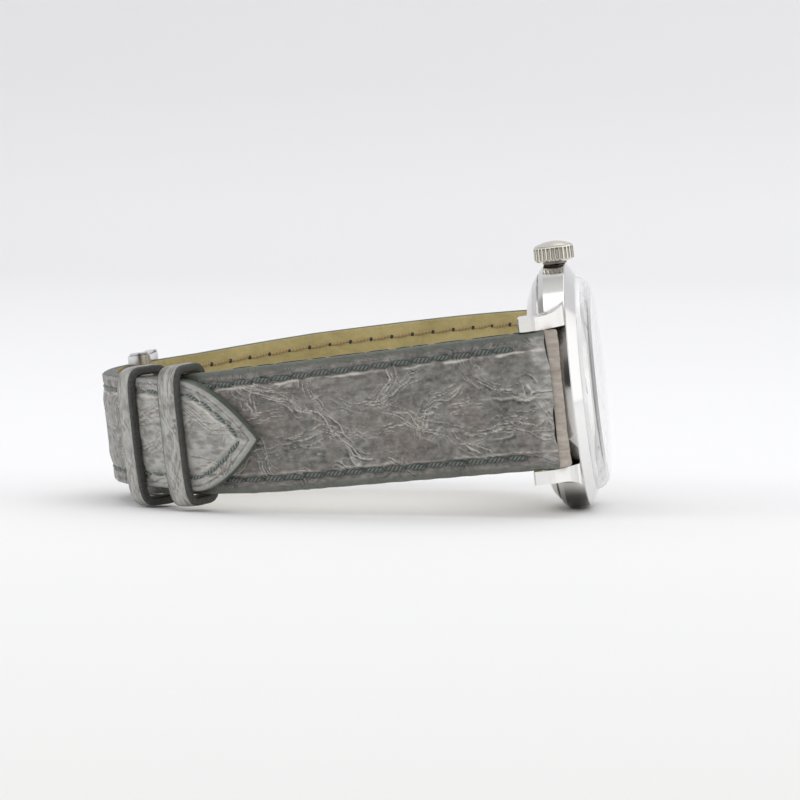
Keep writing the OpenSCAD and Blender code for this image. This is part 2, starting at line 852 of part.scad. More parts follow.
module jewels() {
    color("crimson")
        cased() {
            for (p = [third_at, fourth_at, escape_at, fork_at, balance_at])
                jewel(p, plate_back, plate_back + 0.35);
            for (p = [third_at, fourth_at])
                jewel(p, bridge_back, bridge_back + 0.35);
            for (p = [escape_at, fork_at])
                jewel(p, escape_cock_back + seat_gap, train_back);
            jewel(balance_at, cock_front - 0.35, cock_front);
        }
}

// Arbor that runs in two jewels
module arbor(z0, z1, r = 0.25) {
    disc(z0 + 0.3, z1 - 0.3, r);
    disc(z0, z1, 0.09);
}

module barrel() {
    color("goldenrod")
        cased()
            at(barrel_at)
                difference() {
                    union() {
                        disc(barrel_back, barrel_front, barrel_r);
                        gear(barrel_teeth, barrel_pitch, lower_level - 0.12, barrel_front, mesh_turn);
                    }
                    disc(barrel_back + 0.15, barrel_front - 0.2, barrel_r - 0.35);
                    disc(-9, 1, arbor_r + run_gap);
                }
}

module barrel_arbor() {
    color("silver")
        cased()
            at(barrel_at)
                difference() {
                    union() {
                        disc(wind_level - wind_t, plate_back + 0.5, arbor_r);
                        disc(barrel_back + 0.2, barrel_front - 0.25, arbor_hub_r);
                    }
                    disc(wind_level - 1, wind_level + 0.9, ratchet_screw_r + seat_gap);
                }
}

// Mainspring as a ribbon in its barrel, wound in an even spiral
module mainspring() {
    turns = 6;
    t = 0.14;
    r0 = arbor_hub_r + t + seat_gap;
    r1 = barrel_r - 0.45;
    n = turns * 24;
    function sp(i, o) = let (a = i * 15, r = r0 + (r1 - r0) * i / n + o) r * [cos(a), sin(a)];
    color("slategray")
        cased()
            at(barrel_at)
                translate([0, 0, barrel_back + 0.2])
                    linear_extrude(barrel_front - barrel_back - 0.45)
                        polygon(concat([for (i = [0:n]) sp(i, 0)], [for (i = [n:-1:0]) sp(i, -t)]));
}

module ratchet_wheel() {
    color("silver")
        cased()
            at(barrel_at)
                difference() {
                    gear(ratchet_teeth, ratchet_pitch, wind_level - wind_t, wind_level,
                        ratchet_mesh + 180 / ratchet_teeth);
                    disc(-9, 1, arbor_r + seat_gap);
                }
}

// Crown wheel: spur teeth on the ratchet's level and a toothed face over the winding pinion
module crown_wheel() {
    low = -stem_depth - winding_pinion_r - 0.1;
    color("silver")
        cased()
            at(crown_wheel_at)
                difference() {
                    union() {
                        gear(crown_wheel_teeth, crown_wheel_pitch, wind_level - wind_t, wind_level,
                            ratchet_mesh + 180);
                        disc(wind_level - eps, low - 0.3, contrate_r - 0.1);
                        difference() {
                            disc(low - 0.3 - eps, low, contrate_r);
                            disc(low - 0.15, low + 1, contrate_r - 0.6);
                        }
                    }
                    disc(wind_level - 1, wind_level - wind_t + 0.1, 0.7);
                }
}

module click() {
    tip = click_at + 1.15 * [cos(-35), sin(-35)];
    color("silver")
        cased()
            difference() {
                union() {
                    link(click_at, tip, 0.3, wind_level - wind_t, wind_level);
                    at(click_at)
                        disc(wind_level - wind_t, wind_level, 0.65);
                }
                at(click_at)
                    disc(-9, 1, click_screw_r + run_gap);
            }
}

// Screw with a wide head over the piece that it holds
module cap_screw(shank, r, head) {
    difference() {
        union() {
            disc(shank[0], shank[1], r);
            disc(shank[0] - 0.15, shank[0], head);
        }
        translate([-head - 1, -0.08, shank[0] - 0.25])
            cube([2 * head + 2, 0.16, 0.18]);
    }
}

module click_screw() {
    color("steelblue")
        cased()
            at(click_at)
                cap_screw([wind_level - wind_t - seat_gap, bridge_back + 0.6], click_screw_r, 0.5);
}

module ratchet_screw() {
    color("steelblue")
        cased()
            at(barrel_at)
                cap_screw([wind_level - wind_t - seat_gap, wind_level + 0.8], ratchet_screw_r, 1.25);
}

module center_wheel() {
    color("goldenrod")
        cased() {
            spoked(center_teeth, center_pitch, center_level, center_level + gear_t, 1.2, 0);
            gear(center_pinion_teeth, center_pinion_pitch, lower_level - 0.15, center_level + eps,
                barrel_angle);
            disc(bridge_back + 0.1, center_level, 0.4);
            disc(center_level, works_back + 0.05, 0.4);
            disc(works_back - 1, dial_top + 0.6, 0.2);
        }
}

module third_wheel() {
    a = atan2(third_at[1], third_at[0]);
    color("goldenrod")
        cased()
            at(third_at) {
                spoked(third_teeth, third_pitch, third_level, third_level + 0.14, 0.7, 0);
                gear(third_pinion_teeth, third_pinion_pitch, center_level - 0.1, plate_back - 0.02,
                    a + 180 + 180 / third_pinion_teeth);
                arbor(bridge_back + 0.05, plate_back + 0.3);
            }
}

module fourth_wheel() {
    color("goldenrod")
        cased()
            at(fourth_at) {
                spoked(fourth_teeth, fourth_pitch, lower_level, lower_level + gear_t, 0.7, 0);
                gear(fourth_pinion_teeth, fourth_pinion_pitch, third_level - 0.05, third_level + 0.2, 0);
                arbor(bridge_back + 0.05, plate_back + 0.3, 0.22);
                disc(plate_back + 0.1, dial_top + 0.3, 0.1);
            }
}

// Club-toothed escape wheel
module escape_wheel() {
    function tooth(i) = let (a = i * 360 / escape_teeth)
        [[1.6 * cos(a), 1.6 * sin(a)], [escape_r * cos(a + 3), escape_r * sin(a + 3)],
            [escape_r * cos(a + 7), escape_r * sin(a + 7)], [1.6 * cos(a + 11), 1.6 * sin(a + 11)]];
    color("silver")
        cased()
            at(escape_at) {
                difference() {
                    translate([0, 0, escape_level])
                        linear_extrude(0.12)
                            polygon([for (i = [0:escape_teeth - 1], p = tooth(i)) p]);
                    difference() {
                        disc(escape_level - 1, escape_level + 1, 1.35);
                        disc(escape_level - 2, escape_level + 2, 0.6);
                        for (a = [0, 90])
                            rotate([0, 0, a])
                                translate([-1.6, -0.12, escape_level - 2])
                                    cube([3.2, 0.24, 4]);
                    }
                }
                gear(escape_pinion_teeth, escape_pinion_pitch, lower_level - 0.02, plate_back - 0.1,
                    escape_angle + 180 + 180 / escape_pinion_teeth);
                arbor(-3.1, plate_back + 0.3, 0.2);
            }
}

// Pallet fork: an anchor with two stones and a lever with horns, midway between them
module pallet_fork() {
    stone = 1.5;
    color("silver")
        cased()
            at(fork_at)
                rotate([0, 0, fork_angle]) {
                    translate([0, 0, escape_level])
                        linear_extrude(0.12)
                            polygon([[-0.95, -stone - 0.12], [-0.6, -stone - 0.12],
                                [0.3, -0.3], [2.1, -0.12], [2.6, -0.42], [2.62, -0.3], [2.3, 0],
                                [2.62, 0.3], [2.6, 0.42], [2.1, 0.12], [0.3, 0.3],
                                [-0.6, stone + 0.12], [-0.95, stone + 0.12], [-0.95, stone - 0.12],
                                [-0.6, stone - 0.2], [-0.3, 0],
                                [-0.6, -stone + 0.2], [-0.95, -stone + 0.12]]);
                    disc(-3.1, plate_back + 0.3, 0.09);
                }
}

module balance() {
    color("goldenrod")
        cased()
            at(balance_at) {
                ring(balance_level, balance_level + 0.26, balance_r - 0.45, balance_r);
                difference() {
                    union() {
                        translate([-balance_r + 0.2, -0.25, balance_level + 0.06])
                            cube([2 * balance_r - 0.4, 0.5, 0.14]);
                        disc(balance_level + 0.02, balance_level + 0.24, 0.6);
                    }
                    disc(-9, 1, 0.15);
                }
                disc(cock_front - 0.3, plate_back + 0.3, 0.09);
                disc(balance_level - 0.02, plate_back - 0.1, 0.2);
                disc(-2.86, -2.76, 0.55);
            }
}

// Hairspring between its collet and its stud under the cock
module hairspring() {
    turns = 9;
    n = turns * 18;
    r0 = 0.35;
    r1 = 2.6;
    t = 0.05;
    function hp(i, o) = let (a = i * 20, r = r0 + (r1 - r0) * i / n + o) r * [cos(a), sin(a)];
    color("steelblue")
        cased()
            at(balance_at)
                translate([0, 0, cock_front + 0.01])
                    linear_extrude(0.1)
                        polygon(concat([for (i = [0:n]) hp(i, 0)], [for (i = [n:-1:0]) hp(i, -t)]));
}

module cannon_pinion() {
    color("silver")
        cased()
            difference() {
                union() {
                    gear(cannon_teeth, cannon_pitch, works_back + 0.06, works_back + 0.22, 0);
                    disc(works_back + 0.06, 1.02, cannon_r - seat_gap);
                }
                disc(-2, 2, 0.2 + seat_gap);
            }
}

module minute_wheel() {
    color("goldenrod")
        cased()
            at(minute_wheel_at)
                difference() {
                    union() {
                        gear(minute_teeth, minute_wheel_dist - cannon_pitch, works_back + 0.06, works_back + 0.2,
                            180 + 180 / minute_teeth);
                        gear(minute_pinion_teeth, minute_wheel_dist - hour_pitch, works_back + 0.19,
                            plate_top - 0.06, 0);
                        disc(plate_back + 0.5, works_back + 0.1, 0.3);
                    }
                    disc(works_back + 0.1, 1, 0.18);
                }
}

module hour_wheel() {
    color("goldenrod")
        cased()
            difference() {
                union() {
                    gear(hour_teeth, hour_pitch, plate_top - 0.26, plate_top - 0.08, 180 / hour_teeth);
                    disc(plate_top - 0.26, 0.68, hour_tube_r - seat_gap);
                }
                disc(-2, 2, cannon_r + run_gap);
            }
}

// Runs along the stem's axis, with Z outwards to the crown
module stemwise() {
    cased()
        translate([0, 0, -stem_depth])
            rotate([0, 90, 0])
                children();
}

module stem() {
    color("silver")
        stemwise()
            difference() {
                disc(stem_in, case_r + crown_gap + crown_seat_h + 0.9, stem_r - seat_gap);
                ring(winding_pinion_x + winding_pinion_len + 1.1,
                    winding_pinion_x + winding_pinion_len + 1.5,
                    stem_r - 0.15, stem_r + 1);
            }
}

module stem_gear(x0, x1, teeth, r) {
    stemwise()
        difference() {
            gear(teeth, r, x0, x1);
            disc(x0 - 1, x1 + 1, stem_r + seat_gap);
        }
}

module winding_pinion() {
    color("silver")
        stem_gear(winding_pinion_x - 0.1, winding_pinion_x + winding_pinion_len - 0.1,
            14, winding_pinion_r - 0.08);
}

module sliding_pinion() {
    color("silver")
        stem_gear(winding_pinion_x - 0.14 - clutch_len, winding_pinion_x - 0.14, 12, 0.85);
}

module setting_lever() {
    color("silver")
        cased()
            difference() {
                union() {
                    link([lever_x, 0], [lever_x, lever_len], 0.35, lever_back, lever_back + lever_t);
                    at([lever_x, 0])
                        disc(lever_back - 0.2, lever_back + eps, 0.14);
                }
                at([lever_x, lever_len])
                    disc(-9, 1, lever_screw_r + run_gap);
            }
}

module setting_lever_screw() {
    color("steelblue")
        cased()
            at([lever_x, lever_len])
                mirror([0, 0, 1])
                    cap_screw([-lever_back - lever_t - seat_gap, -plate_back - 0.1], lever_screw_r, 0.5);
}

// Slab that gives a strap its width: tapered from the lugs to half width b at x end
module taper(b, end) {
    a = strap_lug_half;
    rotate([90, 0, 0])
        translate([0, 0, -3 * case_r])
            linear_extrude(6 * case_r)
                polygon([[0, -a], [-bar_depth, -a], [end, -b], [-100, -b],
                    [-100, b], [end, b], [-bar_depth, a], [0, a]]);
}

// Points of an arc from angle a0 to a1
function arc_points(c, r, a0, a1, n) = [for (i = [0:n]) let (a = a0 + (a1 - a0) * i / n)
    c + r * [cos(a), sin(a)]];

// Loop line moved outwards by d: the bend of the keepers from its start angle, then
// the bend at the buckle, and on the long side the far bulge up to the lug
function near_line(d, a0) = arc_points(bend_at, keeper_bend + d, a0, 180, 36);
function corner_line(d, turn) = arc_points(corner_at, buckle_bend + d, 180, 180 - turn, 14);
function far_line(d) = concat(arc_points(far_at, far_bend + d, 180 - corner_turn, 90, 30),
    arc_points(last_at, last_r + d, 90, 90 - last_turn, 20));
function backwards(v) = [for (i = [len(v) - 1:-1:0]) v[i]];

module band(line_a, line_b) {
    translate([0, 0, -lug_w / 2])
        linear_extrude(lug_w)
            polygon(concat(line_a, backwards(line_b)));
}

// Roll of leather round a bar, with a slot in the middle where one is needed
module leather_roll(p, r, half, bore) {
    at(p)
        difference() {
            disc(-half, half, r);
            disc(-half - 1, half + 1, bore);
        }
}

function short_line(d) = concat([[-bar_depth, near_y - d]], near_line(d, 270),
    corner_line(d, buckle_turn));
function long_line(d) = concat(near_line(d, 270 - tip_angle), corner_line(d, corner_turn), far_line(d));

// Layer of the short piece, from d0 to d1 inside the loop line
module short_layer(d0, d1) {
    intersection() {
        band(short_line(-d0), short_line(-d1));
        taper(strap_half, short_taper_end);
    }
}

module strap_short() {
    color("gray")
        laid()
            difference() {
                short_layer(0, upper_t);
                at(buckle_bar_at)
                    disc(-lug_w, lug_w, end_roll_r + seat_gap);
                at([-bar_depth, -bar_y])
                    disc(-lug_w, lug_w, roll_r + seat_gap);
            }
}

module strap_short_lining() {
    color("tan")
        laid()
            difference() {
                union() {
                    short_layer(upper_t, strap_t);
                    leather_roll([-bar_depth, -bar_y], roll_r, strap_lug_half, bar_bore);
                    leather_roll(buckle_bar_at, end_roll_r, strap_half - 0.1, bar_bore);
                }
                at([-bar_depth, -bar_y])
                    disc(-lug_w, lug_w, bar_bore);
                at(buckle_bar_at) {
                    disc(-lug_w, lug_w, bar_bore);
                    disc(-tongue_slot / 2, tongue_slot / 2, end_roll_r + 1.2);
                }
            }
}

// Curved edge of the tip, from its point to its full width
function tip_edge(s) = [for (i = [0:14]) let (u = i / 14)
    [(0.5 - u) * tip_len, s * long_half * (1 - (1 - u) ^ 2) + (i == 14 ? s : 0)]];

// Layer of the long piece, d0 to d1 outside the loop line, with its holes and its tip
module long_layer(d0, d1) {
    intersection() {
        difference() {
            band(long_line(d0), long_line(d1));
            at(bend_at)
                rotate([0, 0, 270 - tip_angle - tip_span / 2])
                    translate([keeper_bend - 1, 0, 0])
                        rotate([90, 0, 90])
                            linear_extrude(strap_t + 2)
                                difference() {
                                    translate([-tip_len / 2, -lug_w])
                                        square([tip_len, 2 * lug_w]);
                                    polygon(concat(tip_edge(1), backwards(tip_edge(-1))));
                                }
            // Punched holes, the one in use drawn long by the tongue
            for (i = [0:4])
                at(far_at)
                    rotate([0, 0, 126 - i * 5.6])
                        translate([far_bend - 1, 0, 0])
                            rotate([0, 90, 0])
                                cylinder(h = strap_t + 3, r = 0.9);
            at(corner_at)
                rotate([0, 0, 180 - hole_turn])
                    translate([buckle_bend - 1, -used_hole_len / 2, -tongue_half - part_gap])
                        cube([strap_t + 3, used_hole_len, 2 * (tongue_half + part_gap)]);
        }
        taper(long_half, long_taper_end);
    }
}

module strap_long() {
    color("gray")
        laid()
            difference() {
                long_layer(layer_gap + lining_t, layer_gap + strap_t);
                at([-bar_depth, bar_y])
                    disc(-lug_w, lug_w, roll_r + seat_gap);
            }
}

module strap_long_lining() {
    color("tan")
        laid()
            difference() {
                union() {
                    long_layer(layer_gap, layer_gap + lining_t);
                    leather_roll([-bar_depth, bar_y], roll_r, strap_lug_half, bar_bore);
                }
                at([-bar_depth, bar_y])
                    disc(-lug_w, lug_w, bar_bore);
            }
}

// Rounded rectangle from low to high corner
module soft_rect(lo, hi, r) {
    translate(lo + [r, 0])
        square(hi - lo - [2 * r, 0]);
    translate(lo + [0, r])
        square(hi - lo - [0, 2 * r]);
    for (x = [lo[0] + r, hi[0] - r], y = [lo[1] + r, hi[1] - r])
        translate([x, y])
            circle(r = r);
}

// Leather loop round both layers, centred at an angle on the keeper bend
module keeper(angle) {
    span = keeper_w / keeper_bend * 180 / PI;
    laid()
        at(bend_at)
            rotate([0, 0, 270 - angle - span / 2])
                rotate_extrude(angle = span)
                    difference() {
                        soft_rect([keeper_in - keeper_t, -keeper_low], [keeper_out + keeper_t, keeper_low], 1.9);
                        soft_rect([keeper_in, -keeper_half], [keeper_out, keeper_half], 0.6);
                    }
}

module fixed_keeper() {
    color("gray")
        keeper(fixed_keeper_angle);
}

module free_keeper() {
    color("gray")
        keeper(free_keeper_angle);
}

// Buckle: two arms from the bar to the front, joined by the front bar outside the strap
module buckle_frame() {
    color("silver")
        laid()
            difference() {
                union() {
                    for (s = [0, 1])
                        mirror([0, 0, s]) {
                            link(buckle_bar_at, front_bar_at, arm_half, arm_in, arm_in + arm_t - arm_edge);
                            link(buckle_bar_at, front_bar_at, arm_half - arm_edge, arm_in, arm_in + arm_t);
                            at(buckle_bar_at) {
                                disc(arm_in, buckle_half_w - arm_edge, buckle_lobe_r + arm_edge);
                                disc(arm_in, buckle_half_w, buckle_lobe_r);
                            }
                        }
                    at(front_bar_at)
                        disc(-arm_in - arm_t, arm_in + arm_t, front_bar_r);
                }
                at(buckle_bar_at)
                    disc(-arm_in - 1, arm_in + 1, bar_tip_r + seat_gap);
                link(tongue_mid_at, tongue_end_at, tongue_t + tongue_play, -tongue_half - 0.15,
                    tongue_half + 0.15);
            }
}

// Tongue: an eye on the bar and a bent blade through the strap to the front bar
module tongue_blade() {
    link(buckle_bar_at, tongue_mid_at, tongue_t, -tongue_half, tongue_half);
    link(tongue_mid_at, tongue_end_at, tongue_t, -tongue_half, tongue_half);
}

module buckle_tongue() {
    color("silver")
        laid()
            difference() {
                union() {
                    at(buckle_bar_at)
                        disc(-1.2, 1.2, 1.35);
                    tongue_blade();
                }
                at(buckle_bar_at)
                    disc(-2, 2, buckle_bar_r + 0.05);
            }
}

module buckle_spring_bar() {
    color("silver")
        laid()
            at(buckle_bar_at)
                spring_bar(arm_in - 0.05);
}

mid_case();
bezel();
crystal();
crystal_gasket();
rehaut();
case_back();
case_back_gasket();
crown_tube();
crown();
crown_gasket();
lug_spring_bars();
dial();
hour_markers();
hour_hand();
minute_hand();
seconds_hand();
movement_ring();
case_clamps();
main_plate();
barrel_bridge();
train_bridge();
balance_cock();
pallet_cock();
bridge_screws();
click_screw();
ratchet_screw();
setting_lever_screw();
jewels();
barrel();
barrel_arbor();
mainspring();
ratchet_wheel();
crown_wheel();
click();
center_wheel();
third_wheel();
fourth_wheel();
escape_wheel();
pallet_fork();
balance();
hairspring();
cannon_pinion();
minute_wheel();
hour_wheel();
stem();
winding_pinion();
sliding_pinion();
setting_lever();
strap_short();
strap_short_lining();
strap_long();
strap_long_lining();
fixed_keeper();
free_keeper();
buckle_frame();
buckle_tongue();
buckle_spring_bar();
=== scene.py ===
"""A round wristwatch laid down on its side, on a grey leather strap with stitched tan lining."""

import json
import math

import bpy
import numpy as np
from mathutils import Matrix, Vector


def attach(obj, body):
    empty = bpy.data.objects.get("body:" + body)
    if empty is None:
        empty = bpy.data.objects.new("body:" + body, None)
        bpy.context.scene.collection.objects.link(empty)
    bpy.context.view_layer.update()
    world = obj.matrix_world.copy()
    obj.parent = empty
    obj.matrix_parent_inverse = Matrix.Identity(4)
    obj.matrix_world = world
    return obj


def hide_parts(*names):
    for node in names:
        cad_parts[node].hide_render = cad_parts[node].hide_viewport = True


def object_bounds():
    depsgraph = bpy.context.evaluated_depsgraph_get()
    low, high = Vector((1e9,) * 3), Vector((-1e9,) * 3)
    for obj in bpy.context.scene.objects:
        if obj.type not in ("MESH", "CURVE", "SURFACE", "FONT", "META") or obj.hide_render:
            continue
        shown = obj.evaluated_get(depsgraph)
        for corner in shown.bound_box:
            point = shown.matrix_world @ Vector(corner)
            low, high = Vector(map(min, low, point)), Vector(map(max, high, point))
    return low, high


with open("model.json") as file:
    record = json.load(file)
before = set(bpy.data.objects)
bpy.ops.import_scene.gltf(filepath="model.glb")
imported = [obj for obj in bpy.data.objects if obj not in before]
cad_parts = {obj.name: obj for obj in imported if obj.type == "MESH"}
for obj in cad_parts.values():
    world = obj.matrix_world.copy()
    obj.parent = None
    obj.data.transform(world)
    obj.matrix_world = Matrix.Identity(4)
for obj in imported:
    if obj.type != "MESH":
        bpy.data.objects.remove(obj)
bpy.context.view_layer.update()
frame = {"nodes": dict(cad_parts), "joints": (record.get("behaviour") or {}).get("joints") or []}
nodes = frame["nodes"]
joints = {j["name"]: j for j in frame["joints"]}
rng = np.random.default_rng(7)

# Sizes that the CAD model uses, in millimetres
BEND_R, BUCKLE_R, FAR_R = 31.0, 12.0, 60.0
NEAR_Y, NEAR_RUN, BAR_DEPTH, BAR_Y = -23.9, 37.6, 3.3, 21.8
STRAP_T, LINING_T, LAYER_GAP = 2.1, 0.8, 0.05
UPPER_T = STRAP_T - LINING_T
HALF_LUG, HALF_END, LONG_END = 10.25, 9.05, 8.35
CORNER_TURN, BUCKLE_TURN, TIP_ANGLE, TIP_LEN = 45.0, 22.0, 10.6, 12.0
KEEPER_ANGLES = {"fixed_keeper": 51.5, "free_keeper": 34.0}
KEEPER_W, KEEPER_T, KEEPER_PLAY, KEEPER_SLACK = 3.6, 1.3, 0.3, 1.1
BUCKLE_ROLL_R, BAR_BORE = 1.9, 1.0
HOLES, FIRST_HOLE_ANGLE, HOLE_STEP_ANGLE, HOLE_R = 5, 9.0, 5.6, 0.9
STITCH_IN = 2.05

MM = 0.001


def from_buckle(turn):
    """Direction turn degrees on from the buckle end of the loop."""
    return np.array([-math.cos(math.radians(turn)), math.sin(math.radians(turn))])


# Centres of the loop's arcs: keeper bend, buckle bend, far side, and the last arc up to the 6 o'clock bar
BEND_AT = np.array([-BAR_DEPTH - NEAR_RUN, NEAR_Y + BEND_R])
CORNER_AT = BEND_AT - [BEND_R - BUCKLE_R, 0]
FAR_AT = CORNER_AT - (FAR_R - BUCKLE_R) * from_buckle(CORNER_TURN)
PEAK = FAR_AT + [0, FAR_R]
LAST_STEP = [-BAR_DEPTH, BAR_Y] - PEAK
LAST_R = LAST_STEP @ LAST_STEP / (-2 * LAST_STEP[1])
LAST_AT = PEAK - [0, LAST_R]
BUCKLE_BAR_AT = CORNER_AT + (BUCKLE_R - STRAP_T + 0.1) * from_buckle(BUCKLE_TURN)
SHORT_TAPER, LONG_TAPER = BEND_AT[0] - 0.76 * BEND_R, BEND_AT[0] - 0.64 * BEND_R

# Watch frame: X out of the dial, -Y to 12 o'clock, Z to the crown
x_ax = -np.array(joints["seconds_turn"]["axis"])
z_ax = np.array(joints["crown_pull"]["axis"])
x_ax /= np.linalg.norm(x_ax)
z_ax /= np.linalg.norm(z_ax)
y_ax = np.cross(z_ax, x_ax)
TURN = np.stack([x_ax, y_ax, z_ax], 1)
SHIFT = np.array(joints["free_keeper_slide"]["pos_m"]) * 1000 - TURN @ np.array([*BEND_AT, 0.0])


def laid(p):
    """Points of the watch frame, in millimetres, in the part's frame, in metres."""
    return (np.asarray(p, float) @ TURN.T + SHIFT) / 1000


def turned(v):
    """A direction of the watch frame in the part's frame."""
    return np.asarray(v, float) @ TURN.T


# Camera, as measured from the photograph: angles, place in the watch frame in mm, focal length in pixels
PSI, TH, RHO = math.radians(-5.92), math.radians(4.67), math.radians(-6.45)
CAM_T, FOCAL_PX = np.array([27.4, 590.9, 2.5]), 3849.8
PHOTO_PX, SENSOR_MM = 800, 36


def rot(axis, a):
    """Turn by a radians about an axis."""
    c, s = math.cos(a), math.sin(a)
    return {"x": np.array([[1, 0, 0], [0, c, -s], [0, s, c]]),
            "y": np.array([[c, 0, s], [0, 1, 0], [-s, 0, c]]),
            "z": np.array([[c, -s, 0], [s, c, 0], [0, 0, 1]])}[axis]


M = rot("y", RHO) @ rot("x", TH) @ rot("z", PSI)
cam_data = bpy.data.cameras.new("camera")
cam = bpy.data.objects.new("camera", cam_data)
bpy.context.scene.collection.objects.link(cam)
cam_data.sensor_width = SENSOR_MM
cam_data.lens = FOCAL_PX * SENSOR_MM / PHOTO_PX
cam_data.clip_start, cam_data.clip_end = 0.02, 20
place = Matrix.Identity(4)
for i, v in enumerate((M[0], M[2], -M[1])):
    for k, q in enumerate(turned(v)):
        place[k][i] = q
for k, q in enumerate(laid(-M.T @ CAM_T)):
    place[k][3] = q
cam.matrix_world = place
bpy.context.scene.camera = cam
bpy.context.scene.view_settings.view_transform = "Standard"


# Node helpers
class Nodes:
    """Short calls for building one node tree, a material's by its name or any tree."""

    def __init__(self, name=None, tree=None):
        if name:
            self.mat = bpy.data.materials.new(name)
            self.mat.use_nodes = True
            tree = self.mat.node_tree
            self.bsdf = tree.nodes["Principled BSDF"]
        self.t = tree
        self.coord = self.add("ShaderNodeTexCoord")

    def add(self, kind, **props):
        n = self.t.nodes.new(kind)
        for k, v in props.items():
            setattr(n, k, v)
        return n

    def link(self, a, b):
        self.t.links.new(a, b)

    def put(self, socket, value):
        if isinstance(value, bpy.types.NodeSocket):
            self.link(value, socket)
        else:
            socket.default_value = value

    def at(self, space, scale=(1, 1, 1), rotation=(0, 0, 0)):
        m = self.add("ShaderNodeMapping")
        self.link(self.coord.outputs[space], m.inputs["Vector"])
        m.inputs["Scale"].default_value = scale
        m.inputs["Rotation"].default_value = rotation
        return m.outputs[0]

    def noise(self, vector, scale, detail=3, rough=0.5, distort=0.0):
        n = self.add("ShaderNodeTexNoise")
        self.link(vector, n.inputs["Vector"])
        for k, v in (("Scale", scale), ("Detail", detail), ("Roughness", rough), ("Distortion", distort)):
            n.inputs[k].default_value = v
        return n.outputs["Fac"]

    def voronoi(self, vector, scale, rand=1.0):
        n = self.add("ShaderNodeTexVoronoi")
        self.link(vector, n.inputs["Vector"])
        n.inputs["Scale"].default_value = scale
        n.inputs["Randomness"].default_value = rand
        return n.outputs["Distance"]

    def ramp(self, fac, *stops):
        """fac as the colour or number of stops given as (position, value)."""
        n = self.add("ShaderNodeValToRGB")
        self.link(fac, n.inputs[0])
        e = n.color_ramp.elements
        while len(e) < len(stops):
            e.new(0.5)
        for el, (pos, col) in zip(e, stops):
            el.position = pos
            el.color = (*col, 1) if isinstance(col, tuple) else (col, col, col, 1)
        return n.outputs[0]

    def math(self, op, a, b=0.0, clamp=False):
        n = self.add("ShaderNodeMath", operation=op, use_clamp=clamp)
        self.put(n.inputs[0], a)
        self.put(n.inputs[1], b)
        return n.outputs[0]

    def span(self, fac, a, b):
        """fac, from 0 to 1, as a number from a to b."""
        return self.math("ADD", self.math("MULTIPLY", fac, b - a), a)

    def mix(self, fac, a, b, kind="MIX"):
        n = self.add("ShaderNodeMix", data_type="RGBA", blend_type=kind)
        self.put(n.inputs[0], fac)
        self.put(n.inputs[6], (*a, 1) if isinstance(a, tuple) else a)
        self.put(n.inputs[7], (*b, 1) if isinstance(b, tuple) else b)
        return n.outputs[2]

    def bump(self, height, distance, strength=1.0, under=None):
        n = self.add("ShaderNodeBump")
        n.inputs["Strength"].default_value = strength
        n.inputs["Distance"].default_value = distance
        self.link(height, n.inputs["Height"])
        if under is not None:
            self.link(under, n.inputs["Normal"])
        return n.outputs[0]

    def attribute(self, name):
        return self.add("ShaderNodeAttribute", attribute_name=name).outputs["Fac"]

    def finish(self, base=None, rough=None, normal=None, **sockets):
        b = self.bsdf.inputs
        for key, value in (("Base Color", base), ("Roughness", rough), ("Normal", normal)):
            if value is not None:
                self.put(b[key], (*value, 1) if isinstance(value, tuple) else value)
        for key, value in sockets.items():
            b[key.replace("_", " ")].default_value = value
        return self.mat


def spanned(n, fac, color, spread):
    """A colour that runs with fac from spread darker to spread lighter."""
    return n.mix(fac, *(tuple(min(1, c * share) for c in color) for share in (1 - spread, 1 + spread)))


def metal(name, color, rough, grain=0.0, scratch=0.0, spread=0.04, painted_shade=None, reach=0.004, bite=0.7):
    """Metal with faint smears and hairlines. Corners closed in within reach metres darken toward a painted
    shade colour.
    """
    n = Nodes(name)
    obj = n.at("Object")
    smear = n.noise(obj, 140, 4, 0.6)
    base = spanned(n, smear, color, spread)
    if painted_shade:
        # Painted shade: where ambient occlusion finds the surface closed in, the colour darkens toward the
        # shade colour
        shut = n.add("ShaderNodeAmbientOcclusion", samples=6)
        shut.inputs["Distance"].default_value = reach
        painted_shade_mask = n.ramp(shut.outputs["AO"], (bite - 0.3, 1.0), (bite, 0.35), (min(bite + 0.2, 0.99), 0.0))
        base = n.mix(painted_shade_mask, base, painted_shade)
    lines = n.noise(n.at("Object", (1, 1, 30)), 900, 2)
    r = n.math("ADD", n.span(smear, rough * 0.7, rough * 1.3), n.math("MULTIPLY", lines, scratch))
    normal = n.bump(n.noise(obj, 2500, 2), 0.00001, grain) if grain else None
    return n.finish(base, r, normal, Metallic=1.0)


